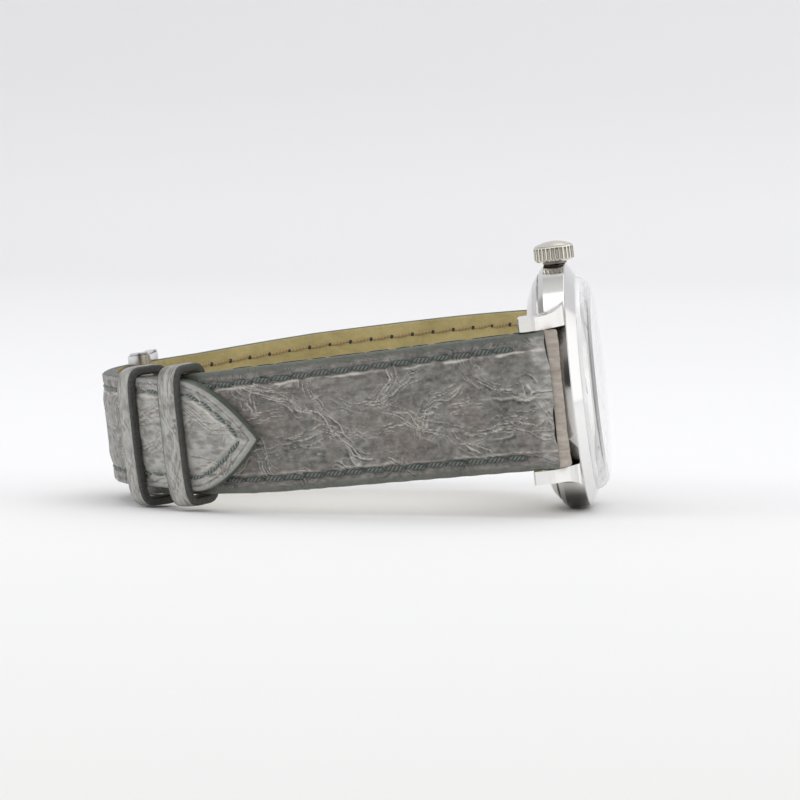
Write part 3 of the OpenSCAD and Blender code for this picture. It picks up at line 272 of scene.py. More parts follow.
mats = {
    "polished": metal("polished_steel", (0.885, 0.88, 0.865), 0.07, 0.1, 0.05, 0.03),
    # band, buckle and crown steel darken to a painted shade colour in their closed-in corners and grooves
    "band": metal("band_steel", (0.83, 0.822, 0.80), 0.09, 0.1, 0.08, 0.06,
                  (0.075, 0.062, 0.052), 0.0045, 0.72),
    "hand": metal("hand_steel", (0.13, 0.135, 0.15), 0.18, 0.2, 0.05, 0.1),
    "marker": metal("marker_steel", (0.26, 0.26, 0.27), 0.15, 0.2, 0.05, 0.1),
    "bright": metal("rehaut_steel", (0.94, 0.938, 0.93), 0.3, 0.2, 0.1, 0.02),
    "buckle": metal("buckle_steel", (0.66, 0.66, 0.67), 0.16, 0.2, 0.1, 0.05,
                    (0.12, 0.115, 0.11), 0.002),
    "crown": metal("crown_steel", (0.80, 0.765, 0.68), 0.17, 0.3, 0.08, 0.05,
                   (0.05, 0.04, 0.026), 0.0006, 0.84),
    "dark": metal("tube_steel", (0.22, 0.20, 0.185), 0.25, 0.3, 0.1),
    "satin": metal("satin_steel", (0.66, 0.66, 0.65), 0.28, 0.3, 0.15),
    "warm": metal("bar_steel", (0.72, 0.56, 0.30), 0.25, 0.4, 0.1, 0.15),
    "brass": metal("gilt_brass", (0.80, 0.60, 0.28), 0.24, 0.4, 0.1),
    "blued": metal("blued_steel", (0.06, 0.11, 0.36), 0.2, 0.1, 0.05, 0.2),
}


def striped():
    """Bridge plating with broad straight stripes."""
    n = Nodes("striped_plating")
    w = n.add("ShaderNodeTexWave", wave_type="BANDS", bands_direction="Y", wave_profile="SAW")
    n.link(n.at("Object", rotation=(math.radians(30), 0, 0)), w.inputs["Vector"])
    w.inputs["Scale"].default_value = 180
    f = w.outputs["Fac"]
    return n.finish(n.mix(f, (0.60, 0.59, 0.56), (0.80, 0.79, 0.75)), n.span(f, 0.2, 0.4),
                    n.bump(n.noise(n.at("Object", (1, 1, 40)), 1200), 0.00001, 0.4), Metallic=1.0)


def plated_plate():
    """Main plate with overlapping round graining."""
    n = Nodes("grained_plate")
    v = n.voronoi(n.at("Object"), 1100, rand=0.15)
    return n.finish(n.mix(v, (0.84, 0.66, 0.33), (0.66, 0.48, 0.2)), n.span(v, 0.18, 0.4),
                    n.bump(v, 0.00002, 0.5), Metallic=1.0)


def dial_face():
    """Silvered dial with a fine matt grain."""
    n = Nodes("dial_silvered")
    fine = n.noise(n.at("Object"), 5200, 2)
    broad = n.noise(n.at("Object"), 120, 3)
    base = n.mix(broad, (0.83, 0.82, 0.795), (0.90, 0.895, 0.875))
    return n.finish(base, n.span(fine, 0.3, 0.42), n.bump(fine, 0.00001, 0.35), Metallic=0.2)


def clear(name, tint, ior, rough, through=1.0, axis=None):
    """Clear plastic or ruby. With an axis, walls along it and grazing views let less through, so the white
    base shows as a painted white sheen, a painted reflection.
    """
    n = Nodes(name)
    r = n.span(n.noise(n.at("Object"), 60, 4), rough * 0.5, rough * 1.6)
    n.finish(tint, r, None, Transmission_Weight=through, IOR=ior)
    if axis:
        # Painted reflection: less transmission at grazing views and on the walls
        facing = n.add("ShaderNodeLayerWeight")
        facing.inputs["Blend"].default_value = 0.5
        shine = n.ramp(facing.outputs["Facing"], (0.2, 0.97), (0.55, through), (0.8, 0.35))
        upright = n.add("ShaderNodeVectorMath", operation="DOT_PRODUCT")
        n.link(n.add("ShaderNodeNewGeometry").outputs["Normal"], upright.inputs[0])
        upright.inputs[1].default_value = axis
        flank = n.ramp(n.math("ABSOLUTE", upright.outputs["Value"]), (0.25, 0.42), (0.7, 1.0))
        n.put(n.bsdf.inputs["Transmission Weight"], n.math("MULTIPLY", shine, flank))
    return n.mat


def plain(name, color, rough, grain_scale, grain, spread=0.15):
    """Rubber, plastic or paint with a fine grain."""
    n = Nodes(name)
    f = n.noise(n.at("Object"), grain_scale, 4)
    return n.finish(spanned(n, f, color, spread), n.span(f, rough * 0.85, min(1, rough * 1.15)),
                    n.bump(f, 0.00005, grain))


mats.update(
    plating=striped(), plate=plated_plate(), dial=dial_face(),
    # the crystal lets 0.87 through, so its white base shows everywhere as a faint painted sheen
    crystal=clear("crystal_clear", (1.0, 1.0, 1.0), 1.49, 0.02, 0.87, tuple(x_ax)),
    gasket=plain("gasket_clear", (0.92, 0.93, 0.93), 0.3, 900, 0.2, 0.03),
    ruby=clear("ruby", (0.75, 0.03, 0.12), 1.76, 0.03),
    rubber=plain("seal_rubber", (0.03, 0.03, 0.03), 0.6, 2500, 0.5),
    edge=plain("edge_paint", (0.092, 0.105, 0.090), 0.45, 1300, 0.8, 0.6),
    keeper_edge=plain("keeper_edge", (0.046, 0.046, 0.042), 0.55, 2600, 1.0, 0.85),
)


def leather():
    """Grey reptile leather: plates and pale creases from the mesh, pores and smears on top. The tone
    carries painted shade beside the creases, and the creases carry a painted highlight line under the top
    stitches.
    """
    n = Nodes("grey_leather")
    uv = n.at("UV")
    crease, tone, rim = n.attribute("crease"), n.attribute("tone"), n.attribute("rim")
    pores = n.noise(uv, 1500, 4, 0.65)
    blot = n.noise(uv, 130, 5, 0.6, 0.6)
    streak = n.noise(n.at("UV", (1, 5, 1)), 260, 4, 0.7)
    base = n.ramp(tone, (0.0, (0.055, 0.057, 0.053)), (0.4, (0.158, 0.152, 0.140)),
                  (0.7, (0.248, 0.241, 0.225)), (1.0, (0.425, 0.422, 0.402)))
    brown = n.math("MULTIPLY", n.ramp(blot, (0.45, 0.0), (0.72, 0.6)),
                   n.ramp(tone, (0.55, 1.0), (0.8, 0.1)))
    base = n.mix(brown, base, (0.185, 0.148, 0.124))
    base = n.mix(n.ramp(streak, (0.35, 0.65), (0.6, 0.0)), base, (0.55, 0.55, 0.53), "MULTIPLY")
    base = n.mix(n.ramp(pores, (0.48, 0.0), (0.72, 0.5)), base, (0.31, 0.30, 0.275))
    base = n.mix(n.ramp(pores, (0.28, 0.6), (0.44, 0.0)), base, (0.55, 0.55, 0.54), "MULTIPLY")
    base = n.mix(n.math("MULTIPLY", crease, n.span(pores, 0.5, 1.3), True), base, (0.56, 0.53, 0.48))
    base = n.mix(n.math("MULTIPLY", rim, n.span(streak, 0.45, 1.0)), base, (0.090, 0.102, 0.082))
    rough = n.math("ADD", n.span(pores, 0.32, 0.5), n.math("MULTIPLY", crease, 0.15))
    normal = n.bump(pores, 0.00006, 0.55, n.bump(streak, 0.00010, 0.5))
    return n.finish(base, rough, normal, Coat_Weight=0.1, Coat_Roughness=0.35)


def lining():
    """Tan lining: smooth, a little greasy, with darker rubs."""
    n = Nodes("lining_leather")
    uv = n.at("UV")
    fine = n.noise(uv, 1800, 3)
    blot = n.noise(uv, 110, 5, 0.65, 0.8)
    base = n.ramp(blot, (0.25, (0.31, 0.25, 0.095)), (0.55, (0.49, 0.405, 0.175)),
                  (0.85, (0.60, 0.51, 0.265)))
    base = n.mix(n.ramp(fine, (0.35, 0.0), (0.8, 0.3)), base, (0.24, 0.185, 0.085))
    return n.finish(base, n.span(blot, 0.42, 0.62), n.bump(fine, 0.00004, 0.4))


def roll_leather():
    """Worn flesh side of the lug rolls."""
    n = Nodes("roll_leather")
    fine = n.noise(n.at("Object"), 2600, 3)
    streak = n.noise(n.at("Object", (1, 1, 6)), 260, 5, 0.7)
    base = n.ramp(streak, (0.3, (0.25, 0.208, 0.17)), (0.55, (0.385, 0.342, 0.294)),
                  (0.8, (0.53, 0.485, 0.43)))
    return n.finish(base, n.span(fine, 0.5, 0.7), n.bump(streak, 0.00012, 0.7))


def thread(name, dark, light):
    """Twisted thread: the mesh gives the hollows between the plies, and the colour paints shade into these
    hollows and at the stitch ends and paints highlights on the ply crowns.
    """
    n = Nodes(name)
    f = n.noise(n.at("Object"), 3000, 3)
    lobe = n.attribute("lobe")
    # painted shade in the ply hollows and at the stitch ends, painted highlight on the ply crowns
    base = n.mix(n.math("MULTIPLY", lobe, n.span(f, 0.6, 1.3), True), dark, light)
    return n.finish(base, n.span(f, 0.5, 0.75), n.bump(f, 0.00005, 0.6), Sheen_Weight=0.2)


mats.update(leather=leather(), lining=lining(), roll=roll_leather(),
            # each thread runs from its painted shade colour to its painted highlight colour
            thread=thread("thread_grey", (0.013, 0.017, 0.0155), (0.15, 0.182, 0.163)),
            pale_thread=thread("thread_pale", (0.022, 0.028, 0.026), (0.21, 0.25, 0.232)),
            lining_thread=thread("thread_tan", (0.22, 0.145, 0.055), (0.45, 0.325, 0.14)),
            hole=plain("stitch_hole", (0.035, 0.036, 0.034), 0.8, 2500, 0.6, 0.6))


# Seeded noise on arrays
NOISE_CELLS = 64


def value_noise(x, y, seed):
    """Smooth noise from 0 to 1, one random number a unit step."""
    t = np.random.default_rng(seed).random((NOISE_CELLS, NOISE_CELLS))
    xi, yi = np.floor(x).astype(int), np.floor(y).astype(int)
    fx, fy = x - xi, y - yi
    fx, fy = fx * fx * (3 - 2 * fx), fy * fy * (3 - 2 * fy)
    g = lambda a, b: t[(xi + a) % NOISE_CELLS, (yi + b) % NOISE_CELLS]
    return (g(0, 0) * (1 - fx) + g(1, 0) * fx) * (1 - fy) + (g(0, 1) * (1 - fx) + g(1, 1) * fx) * fy


def fbm(x, y, seed, octaves=4):
    """Noise from 0 to 1, summed over octaves of half the size and half the weight."""
    total, amp, norm = 0, 1.0, 0.0
    for o in range(octaves):
        total = total + amp * value_noise(x * 2 ** o + 7.3 * o, y * 2 ** o + 3.1 * o, seed + o)
        norm += amp
        amp *= 0.5
    return total / norm


def line(v, at, width):
    """A ridge of height 1 where v is at."""
    return np.exp(-((v - at) / width) ** 2)


def nearest(field, s, z):
    """Signed distance in mm to the nearest curve on which a field passes a whole number and a half."""
    step, least_slope = 0.04, 0.03
    f = field(s, z)
    slope = np.hypot(field(s + step, z) - f, field(s, z + step) - f) / step
    return (f - np.floor(f) - 0.5) / np.maximum(slope, least_slope)


def gate(v, low, gain):
    """0 below low, rising to 1."""
    return np.clip((v - low) * gain, 0, 1)


def sweeping(angle, gap, sway, seed):
    """A field whose curves sweep across the strap at an angle in degrees, about gap mm apart."""
    c, q = math.cos(math.radians(angle)), math.sin(math.radians(angle))
    return lambda a, b: (b * c - a * q) / gap + sway * fbm(a / 8.5, b / 6.5, seed, 2) + seed * 0.37


# Creases of the leather: families of curves by angle, gap, sway, seed and how much of them is quiet
CREASE_FAMILIES = ((-9, 6.0, 1.4, 0, 0.24), (38, 8.5, 1.4, 21, 0.32), (-52, 9, 1.3, 25, 0.34))
STRANDS, STRAND_GAP, STRAND_W, STRAND_WANDER = 3, 0.38, 0.06, 1.5
SHADE_OFF, SHADE_W, BUNDLE_W = 0.16, 0.10, 1.2


def skin(s, z, seed):
    """Height in mm, crease and tone of the reptile leather, s mm along and z mm across.

    The creases are bundles of thin pale strands that wander along a few long curves.
    The plates between them are smooth. Beside each strand and each long fold the tone is darkened as
    painted shade."""
    ws = s + 0.35 * (fbm(s / 1.1, z / 1.0, seed + 4) - 0.5) + 1.5 * (fbm(s / 4.2, z / 4, seed + 6) - 0.5)
    wz = z + 0.35 * (fbm(s / 1.0, z / 1.1, seed + 14) - 0.5) + 1.5 * (fbm(s / 4.4, z / 4, seed + 16) - 0.5)
    strands, shade, close = np.zeros(s.shape), np.zeros(s.shape), np.zeros(s.shape)
    for k, (angle, gap, sway, extra, quiet) in enumerate(CREASE_FAMILIES):
        d = nearest(sweeping(angle, gap, sway, seed + extra), ws, wz)
        busy = gate(fbm(s / 8, z / 6 + 8, seed + 31 + k, 2), quiet, 6)
        close = np.maximum(close, np.exp(-(d / BUNDLE_W) ** 2) * busy)
        for m in range(-STRANDS, STRANDS + 1):
            wander = STRAND_WANDER * (fbm(s / 4.6 + 5 * m, z / 4.2, seed + 44 + 7 * m + k, 2) - 0.5)
            fray = gate(fbm(s / 2.0, z / 1.7 + 3 * m, seed + 60 + m + 9 * k, 3), 0.40 + 0.03 * abs(m), 8)
            on = fray * busy * (1 - 0.15 * abs(m))
            at = STRAND_GAP * m + wander
            strands = np.maximum(strands, line(d, at, STRAND_W) * on)
            shade = np.maximum(shade, line(d, at - SHADE_OFF, SHADE_W) * on)
    hair = nearest(lambda a, b: 2.2 * fbm(a / 2.6, b / 1.5, seed + 90, 2), ws, wz)
    patch = gate(fbm(s / 5, z / 3, seed + 95, 2), 0.48, 6)
    broken = gate(fbm(s / 1.4, z / 1.0, seed + 97, 2), 0.5, 8)
    hairs = line(hair, 0.0, STRAND_W) * broken * np.clip(patch + 0.8 * close, 0, 1)
    long_d = nearest(sweeping(-4, 5.5, 0.9, seed + 101), ws, wz)
    drawn = gate(fbm(s / 7, z / 2.4, seed + 105, 2), 0.54, 7)
    folds = line(long_d, 0.0, 0.14) * drawn
    crease = np.clip(strands + 0.5 * hairs + 0.5 * folds, 0, 1)
    broad, mottle = fbm(s / 7, z / 5, seed + 70, 3) - 0.5, fbm(s / 1.1, z / 0.7, seed + 74, 3) - 0.5
    # Painted shade: the tone darkens beside each strand (shade) and beside the long folds
    tone = (0.41 + 0.42 * broad + 0.85 * mottle - 0.6 * shade
            - 0.2 * line(long_d, -0.3, 0.2) * drawn + 0.10 * close)
    swell, grain = fbm(s / 3.5, z / 2.4, seed + 80, 3) - 0.5, fbm(s / 0.7, z / 0.6, seed + 84, 2) - 0.5
    height = (0.05 * strands - 0.11 * shade + 0.03 * folds - 0.03 * hairs - 0.04 * close
              + 0.10 * swell + 0.06 * close * grain)
    return height, crease, np.clip(tone, 0, 1)


# The loop line of the strap: mm from the 12 o'clock bar round to the 6 o'clock bar
last_turn = 2 * math.degrees(math.atan2(-LAST_STEP[1], LAST_STEP[0]))
ARCS = [(BEND_AT, BEND_R, 270, 90), (CORNER_AT, BUCKLE_R, 180, CORNER_TURN),
        (FAR_AT, FAR_R, 180 - CORNER_TURN, 90 - CORNER_TURN), (LAST_AT, LAST_R, 90, last_turn)]
LENGTHS = [NEAR_RUN] + [r * math.radians(turn) for _, r, _, turn in ARCS]
ENDS = np.cumsum(LENGTHS)
SHORT_END = ENDS[1] + BUCKLE_R * math.radians(BUCKLE_TURN)
TIP_S = ENDS[0] + BEND_R * math.radians(TIP_ANGLE)
LOOP_END = ENDS[-1]


def loop(s):
    """Points and outward directions of the loop line, s mm from the 12 o'clock bar."""
    s = np.asarray(s, float)
    p = np.stack([-BAR_DEPTH - s, np.full(s.shape, NEAR_Y)], -1)
    n = np.stack([np.zeros(s.shape), -np.ones(s.shape)], -1)
    for (centre, r, start, _), begin in zip(ARCS, ENDS[:-1]):
        a = np.radians(start - np.degrees((s - begin) / r))
        d = np.stack([np.cos(a), np.sin(a)], -1)
        inside = (s > begin)[..., None]
        p = np.where(inside, centre + r * d, p)
        n = np.where(inside, d, n)
    return p, n


def on_loop(s, z, d):
    """Watch frame points at s along, z across and d outwards."""
    p, n = loop(s)
    xy = p + n * np.asarray(d)[..., None]
    return np.concatenate([xy, np.broadcast_to(z, s.shape)[..., None]], -1)


def half_width(s):
    """Half width of the short piece, worn a little narrower under the keepers."""
    worn = 0.1 * np.clip((s - 46) / 4, 0, 1)
    return np.interp(-loop(s)[0][..., 0], [BAR_DEPTH, -SHORT_TAPER], [HALF_LUG, HALF_END]) - worn


def long_half(s):
    """Half width of the long piece, with the curved edges of its tip."""
    base = np.interp(-loop(s)[0][..., 0], [BAR_DEPTH, -LONG_TAPER], [HALF_LUG, LONG_END])
    u = np.clip((s - TIP_S) / TIP_LEN, 0, 1)
    return base * (1 - (1 - u) ** 2)


def drift(s):
    """How far the middle of the long piece lies above the middle of the loop."""
    stations = [TIP_S, 60, 66, 74, 125, LOOP_END - 8, LOOP_END]
    return np.interp(s, stations, [-1.2, 0.62, 0.88, 0.93, 1.1, 0.25, 0.0])


# Mesh helpers
def make(name, verts, faces, materials, body, pick=None, uv=None, attrs=None):
    """A smooth piece from points of the watch frame in mm, riding on a body."""
    me = bpy.data.meshes.new(name)
    me.from_pydata(laid(verts).tolist(), [], [list(map(int, f)) for f in faces])
    for m in materials:
        me.materials.append(m)
    if pick is not None:
        me.polygons.foreach_set("material_index", np.asarray(pick, np.int32))
    if uv is not None:
        layer = me.uv_layers.new(name="strap")
        loops = np.empty(len(me.loops), np.int32)
        me.loops.foreach_get("vertex_index", loops)
        layer.data.foreach_set("uv", np.asarray(uv, float)[loops].ravel())
    for key, value in (attrs or {}).items():
        values = np.asarray(value, np.float32)
        me.attributes.new(key, "FLOAT", "POINT").data.foreach_set("value", values)
    me.polygons.foreach_set("use_smooth", [True] * len(me.polygons))
    me.validate()
    me.update()
    ob = bpy.data.objects.new(name, me)
    bpy.context.scene.collection.objects.link(ob)
    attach(ob, body)
    return ob


def grid_faces(rows, cols, first=0, wrap=False, flip=False):
    """Faces of a grid of points numbered row by row from first."""
    i, k = np.meshgrid(np.arange(rows - 1), np.arange(cols if wrap else cols - 1), indexing="ij")
    k2 = (k + 1) % cols
    corners = [i * cols + k, i * cols + k2, (i + 1) * cols + k2, (i + 1) * cols + k]
    q = np.stack(corners, -1).reshape(-1, 4) + first
    return q[:, ::-1] if flip else q


HOLE_S = [ENDS[2] + FAR_R * math.radians(FIRST_HOLE_ANGLE + HOLE_STEP_ANGLE * i) for i in range(HOLES)]
SNAP_OUT, SNAP_IN = 0.09, 0.26
RIDGE_HIGHLIGHT_IN, RIDGE_HIGHLIGHT_W = STITCH_IN + 0.75, 0.17
WALL_ROWS, EDGE_BULGE = 3, 0.06


def band_mesh(name, stations, half, outer, inner, body, slots, seed=None, holes=False, cols=110, back=28,
              edge_r=0.3, shift=None, fold=None, lift=None, lip=None, wave=None):
    """Closed band along the loop: outer(s, z) and inner(s, z) give its two faces in mm outwards.

    With a seed, the outer face is reptile leather, with a painted highlight line along the padded lip under
    its stitches. lift brightens its tone, lip gives the distance to its edge, fold raises it, and shift and
    wave move the band across and along."""
    s = np.asarray(stations, float)
    h = half(s)
    t = np.linspace(-1, 1, cols)
    t = np.sign(t) * (1 - (1 - np.abs(t)) ** 1.12)
    S = np.repeat(s[:, None], cols, 1)
    Z = h[:, None] * t
    top = outer(S, Z)
    if seed is not None:
        dh, crease, tone = skin(S, Z, seed)
        edge = (h[:, None] - np.abs(Z)) if lip is None else lip(S, Z)
        # Painted highlight: a pale broken line along the padded lip under the stitches, fuller on the upper
        # edge where the light falls
        ridge = line(edge, RIDGE_HIGHLIGHT_IN + 0.7 * (fbm(S / 2.2, Z, seed + 120, 3) - 0.5), RIDGE_HIGHLIGHT_W) \
            * gate(fbm(S / 2.6, Z, seed + 124, 3), 0.32, 6)
        within = np.clip((edge - STITCH_IN + 0.3) / 0.8, 0.3, 1)
        crease = np.clip(crease * within + np.where(Z > 0, 1.0, 0.4) * ridge, 0, 1)
        if lift is not None:
            tone = np.clip(tone + lift(S, Z), 0, 1)
    else:
        dh, crease, tone = 0.03 * (fbm(S / 3, Z / 2, 91) - 0.5), np.zeros_like(S), np.full_like(S, 0.5)
    soft = np.clip((h[:, None] - np.abs(Z)) / 0.8, 0, 1)
    top = top + dh * soft
    if fold is not None:
        top = top + fold(S, Z)
    er = np.minimum(edge_r, np.maximum(h, 1e-3) * 0.9)[:, None]
    over = np.clip((np.abs(Z) - (h[:, None] - er)) / er, 0, 1)
    top = top - er * (1 - np.sqrt(np.clip(1 - over ** 2, 0, 1)))
    tb = np.linspace(1, -1, back)
    Sb, Zb = np.repeat(s[:, None], back, 1), h[:, None] * tb
    low = inner(Sb, Zb)
    # Ring: outer face from -1 to 1, one edge, inner face back from 1 to -1, the other edge
    wall = WALL_ROWS
    f = (np.arange(wall) + 1) / (wall + 1)
    e1 = top[:, -1:] + (low[:, :1] - top[:, -1:]) * f
    e2 = low[:, -1:] + (top[:, :1] - low[:, -1:]) * f
    bulge = EDGE_BULGE * np.sin(np.pi * f)
    D = np.hstack([top, e1, low, e2])
    ZZ = np.hstack([Z, h[:, None] + bulge, Zb, -h[:, None] - bulge])
    SS = np.repeat(s[:, None], D.shape[1], 1)
    ring = D.shape[1]
    if wave is not None:
        SS = SS + wave(SS, ZZ)
    if shift is not None:
        ZZ = ZZ + shift(SS)
    if holes:
        for hs in HOLE_S:
            away = np.hypot(SS - hs, ZZ)
            close = (away < HOLE_R + SNAP_OUT) & (away > HOLE_R - SNAP_IN)
            scale = np.where(close, HOLE_R / np.maximum(away, 1e-6), 1)
            SS, ZZ = hs + (SS - hs) * scale, ZZ * scale
    verts = on_loop(SS, ZZ, D).reshape(-1, 3)
    faces = grid_faces(len(s), ring, wrap=True)
    col = faces[:, 0] % ring
    pick = np.where((col >= cols - 2) & (col < cols + wall), 1, 0)
    pick = np.where((col >= cols + wall + back - 1) | (col < 1), 1, pick)
    if holes:
        keep = np.ones(len(faces), bool)
        for hs in HOLE_S:
            away = np.hypot(SS - hs, ZZ).ravel()
            keep &= ~np.all(away[faces] < HOLE_R + 1e-4, axis=1)
        faces, pick = faces[keep], pick[keep]
    faces, pick = faces.tolist(), pick.tolist()
    faces += [list(range(ring)), list(range((len(s) - 1) * ring, len(s) * ring))[::-1]]
    pick += [1, 1]
    pad = ring - cols
    grow = lambda v: np.hstack([v, np.repeat(v[:, -1:], pad, 1)]).ravel()
    if lip is None:
        inset = (h[:, None] - np.abs(Z)) + 0.5 * (fbm(S / 5, Z, 131, 3) - 0.5)
        rim = np.clip((1.05 - inset) / 0.4, 0, 1)
    else:
        rim = 0.5 * np.clip((0.7 - lip(S, Z)) / 0.4, 0, 1)
    uv = np.stack([SS.ravel(), ZZ.ravel()], 1) * MM
    return make(name, verts, faces, slots["materials"], body, pick, uv,
                {"crease": grow(crease), "tone": grow(tone), "rim": grow(rim)})


# Stitching in mm: seen threads, the finer row round the tip, and the lining's
STITCH_PITCH, STITCH_R = 3.0, 0.34
TIP_PITCH, TIP_STITCH_R, TIP_SUNK = 2.6, 0.29, 0.2
LINING_PITCH, LINING_STITCH_R = 3.3, 0.27
PLY_TURN = 2 * np.pi / 1.1


def padded_face(base, pad, s_flat):
    """Outer face with a groove under the stitches and a slight pad between them, flat from s_flat on."""
    def face(s, z):
        inward = half_width(s) - STITCH_IN - np.abs(z)
        inside = np.clip(inward / 2.2, 0, 1)
        rise = pad * (inside * inside * (3 - 2 * inside))
        rise = rise * np.clip((s_flat - s) / 4, 0, 1) * np.clip((s + 0.5) / 4, 0, 1) ** 0.5
        groove = 0.2 * np.exp(-(inward / 0.4) ** 2)
        lip = 0.1 * np.exp(-((inward - 0.75) / 0.3) ** 2)
        return base + rise - groove + lip * np.clip(s_flat - s, 0, 1)
    return face


def tube_path(points, up, radius, around, twist=0.0, ply=0.0):
    """Rings of a tube round a path, one radius a point, and the lobes of its twisted two-ply section."""
    p = np.asarray(points, float)
    t = np.gradient(p, axis=0)
    t /= np.linalg.norm(t, axis=1)[:, None] + 1e-12
    side = np.cross(t, up)
    side /= np.linalg.norm(side, axis=1)[:, None] + 1e-12
    top = np.cross(side, t)
    a = np.linspace(0, 2 * np.pi, around, endpoint=False)
    run = np.concatenate([[0], np.cumsum(np.linalg.norm(np.diff(p, axis=0), axis=1))])
    lobe = np.cos(2 * (a[None] - twist * run[:, None]))
    r = np.asarray(radius)[:, None] * (1 + ply * lobe)
    out = np.cos(a)[None, :, None] * side[:, None] + np.sin(a)[None, :, None] * top[:, None]
    return p[:, None] + r[..., None] * out, lobe


def stitches(name, rows, mat, slot, pitch=STITCH_PITCH, r=STITCH_R, sign=1, dots=None, rise=0.62):
    """rows: polylines of (s, z, d). Each stitch is a twisted thread whose ends go down into the leather.

    With a material for dots, each stitch starts at a dark hole."""
    verts, faces, spots, spot_faces, lobes = [], [], [], [], []
    n, around, dot_n = 22, 12, 8
    v = np.linspace(0, 1, n)
    arch, dot_a = np.sin(np.pi * v) ** 0.6, np.linspace(0, 2 * np.pi, dot_n, endpoint=False)
    for row in rows:
        row = np.asarray(row, float)
        run = np.concatenate([[0], np.cumsum(np.hypot(np.diff(row[:, 0]), np.diff(row[:, 1])))])
        count = max(1, int(run[-1] / pitch))
        step = run[-1] / count
        for i in range(count):
            a = (i + 0.02 + 0.99 * v) * step
            s, z, d = (np.interp(a, run, row[:, k]) for k in range(3))
            ds, dz = np.gradient(s), np.gradient(z)
            length = np.hypot(ds, dz) + 1e-9
            lean = 0.30 * (v - 0.5) + 0.05 * (rng.random() - 0.5)
            s, z = s - dz / length * lean, z + ds / length * lean
            p = on_loop(s, z, d + r * (rise * arch - 0.4) * sign)
            up = np.concatenate([loop(s)[1] * sign, np.zeros((n, 1))], 1)
            rad = r * (0.3 + 0.7 * arch) * (0.9 + 0.2 * rng.random())
            ring, lobe = tube_path(p, up, rad, around, PLY_TURN, 0.16)
            # lobe: high on the ply crowns, low in their hollows and at the stitch ends; it drives the
            # thread's painted highlight and painted shade
            lobes.append(((0.5 + 0.5 * lobe) * np.clip(np.sin(np.pi * v) * 2.5, 0.15, 1)[:, None]).ravel())
            first = len(verts) * n * around
            verts.append(ring.reshape(-1, 3))
            faces += grid_faces(n, around, first, wrap=True).tolist()
            faces += [list(range(first, first + around)),
                      list(range(first + (n - 1) * around, first + n * around))[::-1]]
            if dots:
                at_s, at_z, at_d = (np.interp(i * step, run, row[:, k]) for k in range(3))
                c = on_loop(np.array([at_s]), np.array([at_z]), np.array([at_d + 0.05 * sign]))[0]
                nn = np.append(loop(np.array([s[0]]))[1][0] * sign, 0)
                tt, across = np.cross(nn, [0, 0, 1]), np.array([0, 0, 1])
                wide = 0.26 + 0.12 * rng.random()
                b0 = len(spots) * (dot_n + 1)
                spots.append([c + 0.17 * nn]
                             + [c + wide * (np.cos(q) * tt + np.sin(q) * across) for q in dot_a])
                spot_faces += [[b0, b0 + 1 + k, b0 + 1 + (k + 1) % dot_n] for k in range(dot_n)]
    make(name, np.concatenate(verts), faces, [mat], "case", attrs={"lobe": np.concatenate(lobes)})
    if dots:
        make(name + "_holes", np.concatenate(spots), spot_faces, [dots], "case")


def straight_row(s0, s1, side, d, half=half_width, shift=None):
    """Stitch line along one edge from s0 to s1, at the depth d."""
    s = np.linspace(s0, s1, int((s1 - s0) / 0.8))
    z = side * (half(s) - STITCH_IN) + (shift(s) if shift else 0)
    return np.stack([s, z, np.full(s.shape, d)], 1)


# Strap: short piece at 12 o'clock
STRAP = {"materials": [mats["leather"], mats["edge"]], "slot": "grey_leather"}
LINING = {"materials": [mats["lining"], mats["edge"]], "slot": "lining_leather"}
ROLL_X, ROLL_Y, ROLL_GAP = 2.3, 1.78, 0.32
NEAR_FLAT_S, NEAR_SEAM_END = 43.5, 47


def over_roll(a):
    """Depth of the leather's inner face where it runs over the roll, a mm from the bar."""
    q = np.clip(a / ROLL_X, 0, 1)
    rise = STRAP_T - ROLL_Y * np.sqrt(1 - q * q)
    return np.where(a < 0, ROLL_GAP + 0.05 * np.abs(a), np.minimum(np.maximum(rise, ROLL_GAP), UPPER_T))


def flat_at(d):
    """A face of a band that lies at the same depth everywhere."""
    return lambda s, z: np.full(s.shape, d)


def ripples(seed, s0, s1, depth):
    """Folds across the strap between s0 and s1."""
    def fold(s, z):
        on = np.clip((s - s0) / 3, 0, 1) * np.clip((s1 - s) / 3, 0, 1)
        return depth * on * (2 * fbm(s / 1.5 + 0.15 * np.sin(z / 2.5), z / 7 + 40, seed, 3) - 1)
    return fold


s_near = np.concatenate([np.arange(-0.55, 49.5, 0.15), np.arange(49.5, SHORT_END, 0.4), [SHORT_END]])
short_piece = band_mesh(
    "strap_near_leather", s_near, half_width, padded_face(0.0, 0.3, NEAR_FLAT_S),
    lambda s, z: -over_roll(s), "case", STRAP, seed=17, cols=134, edge_r=0.42,
    fold=lambda s, z: 0.12 * np.exp(-(s / 1.1) ** 2) * (fbm(z / 2, s, 77) - 0.6),
    lift=lambda s, z: 0.34 * np.clip((2.6 - s) / 1.2, 0, 1) - 0.10 * np.clip((s - 30) / 8, 0, 1),
    wave=lambda s, z: np.exp(-(s / 1.3) ** 2) * 0.9 * (fbm(z / 2.6, s * 0 + 3, 79, 3) - 0.45))
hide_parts("strap_short")


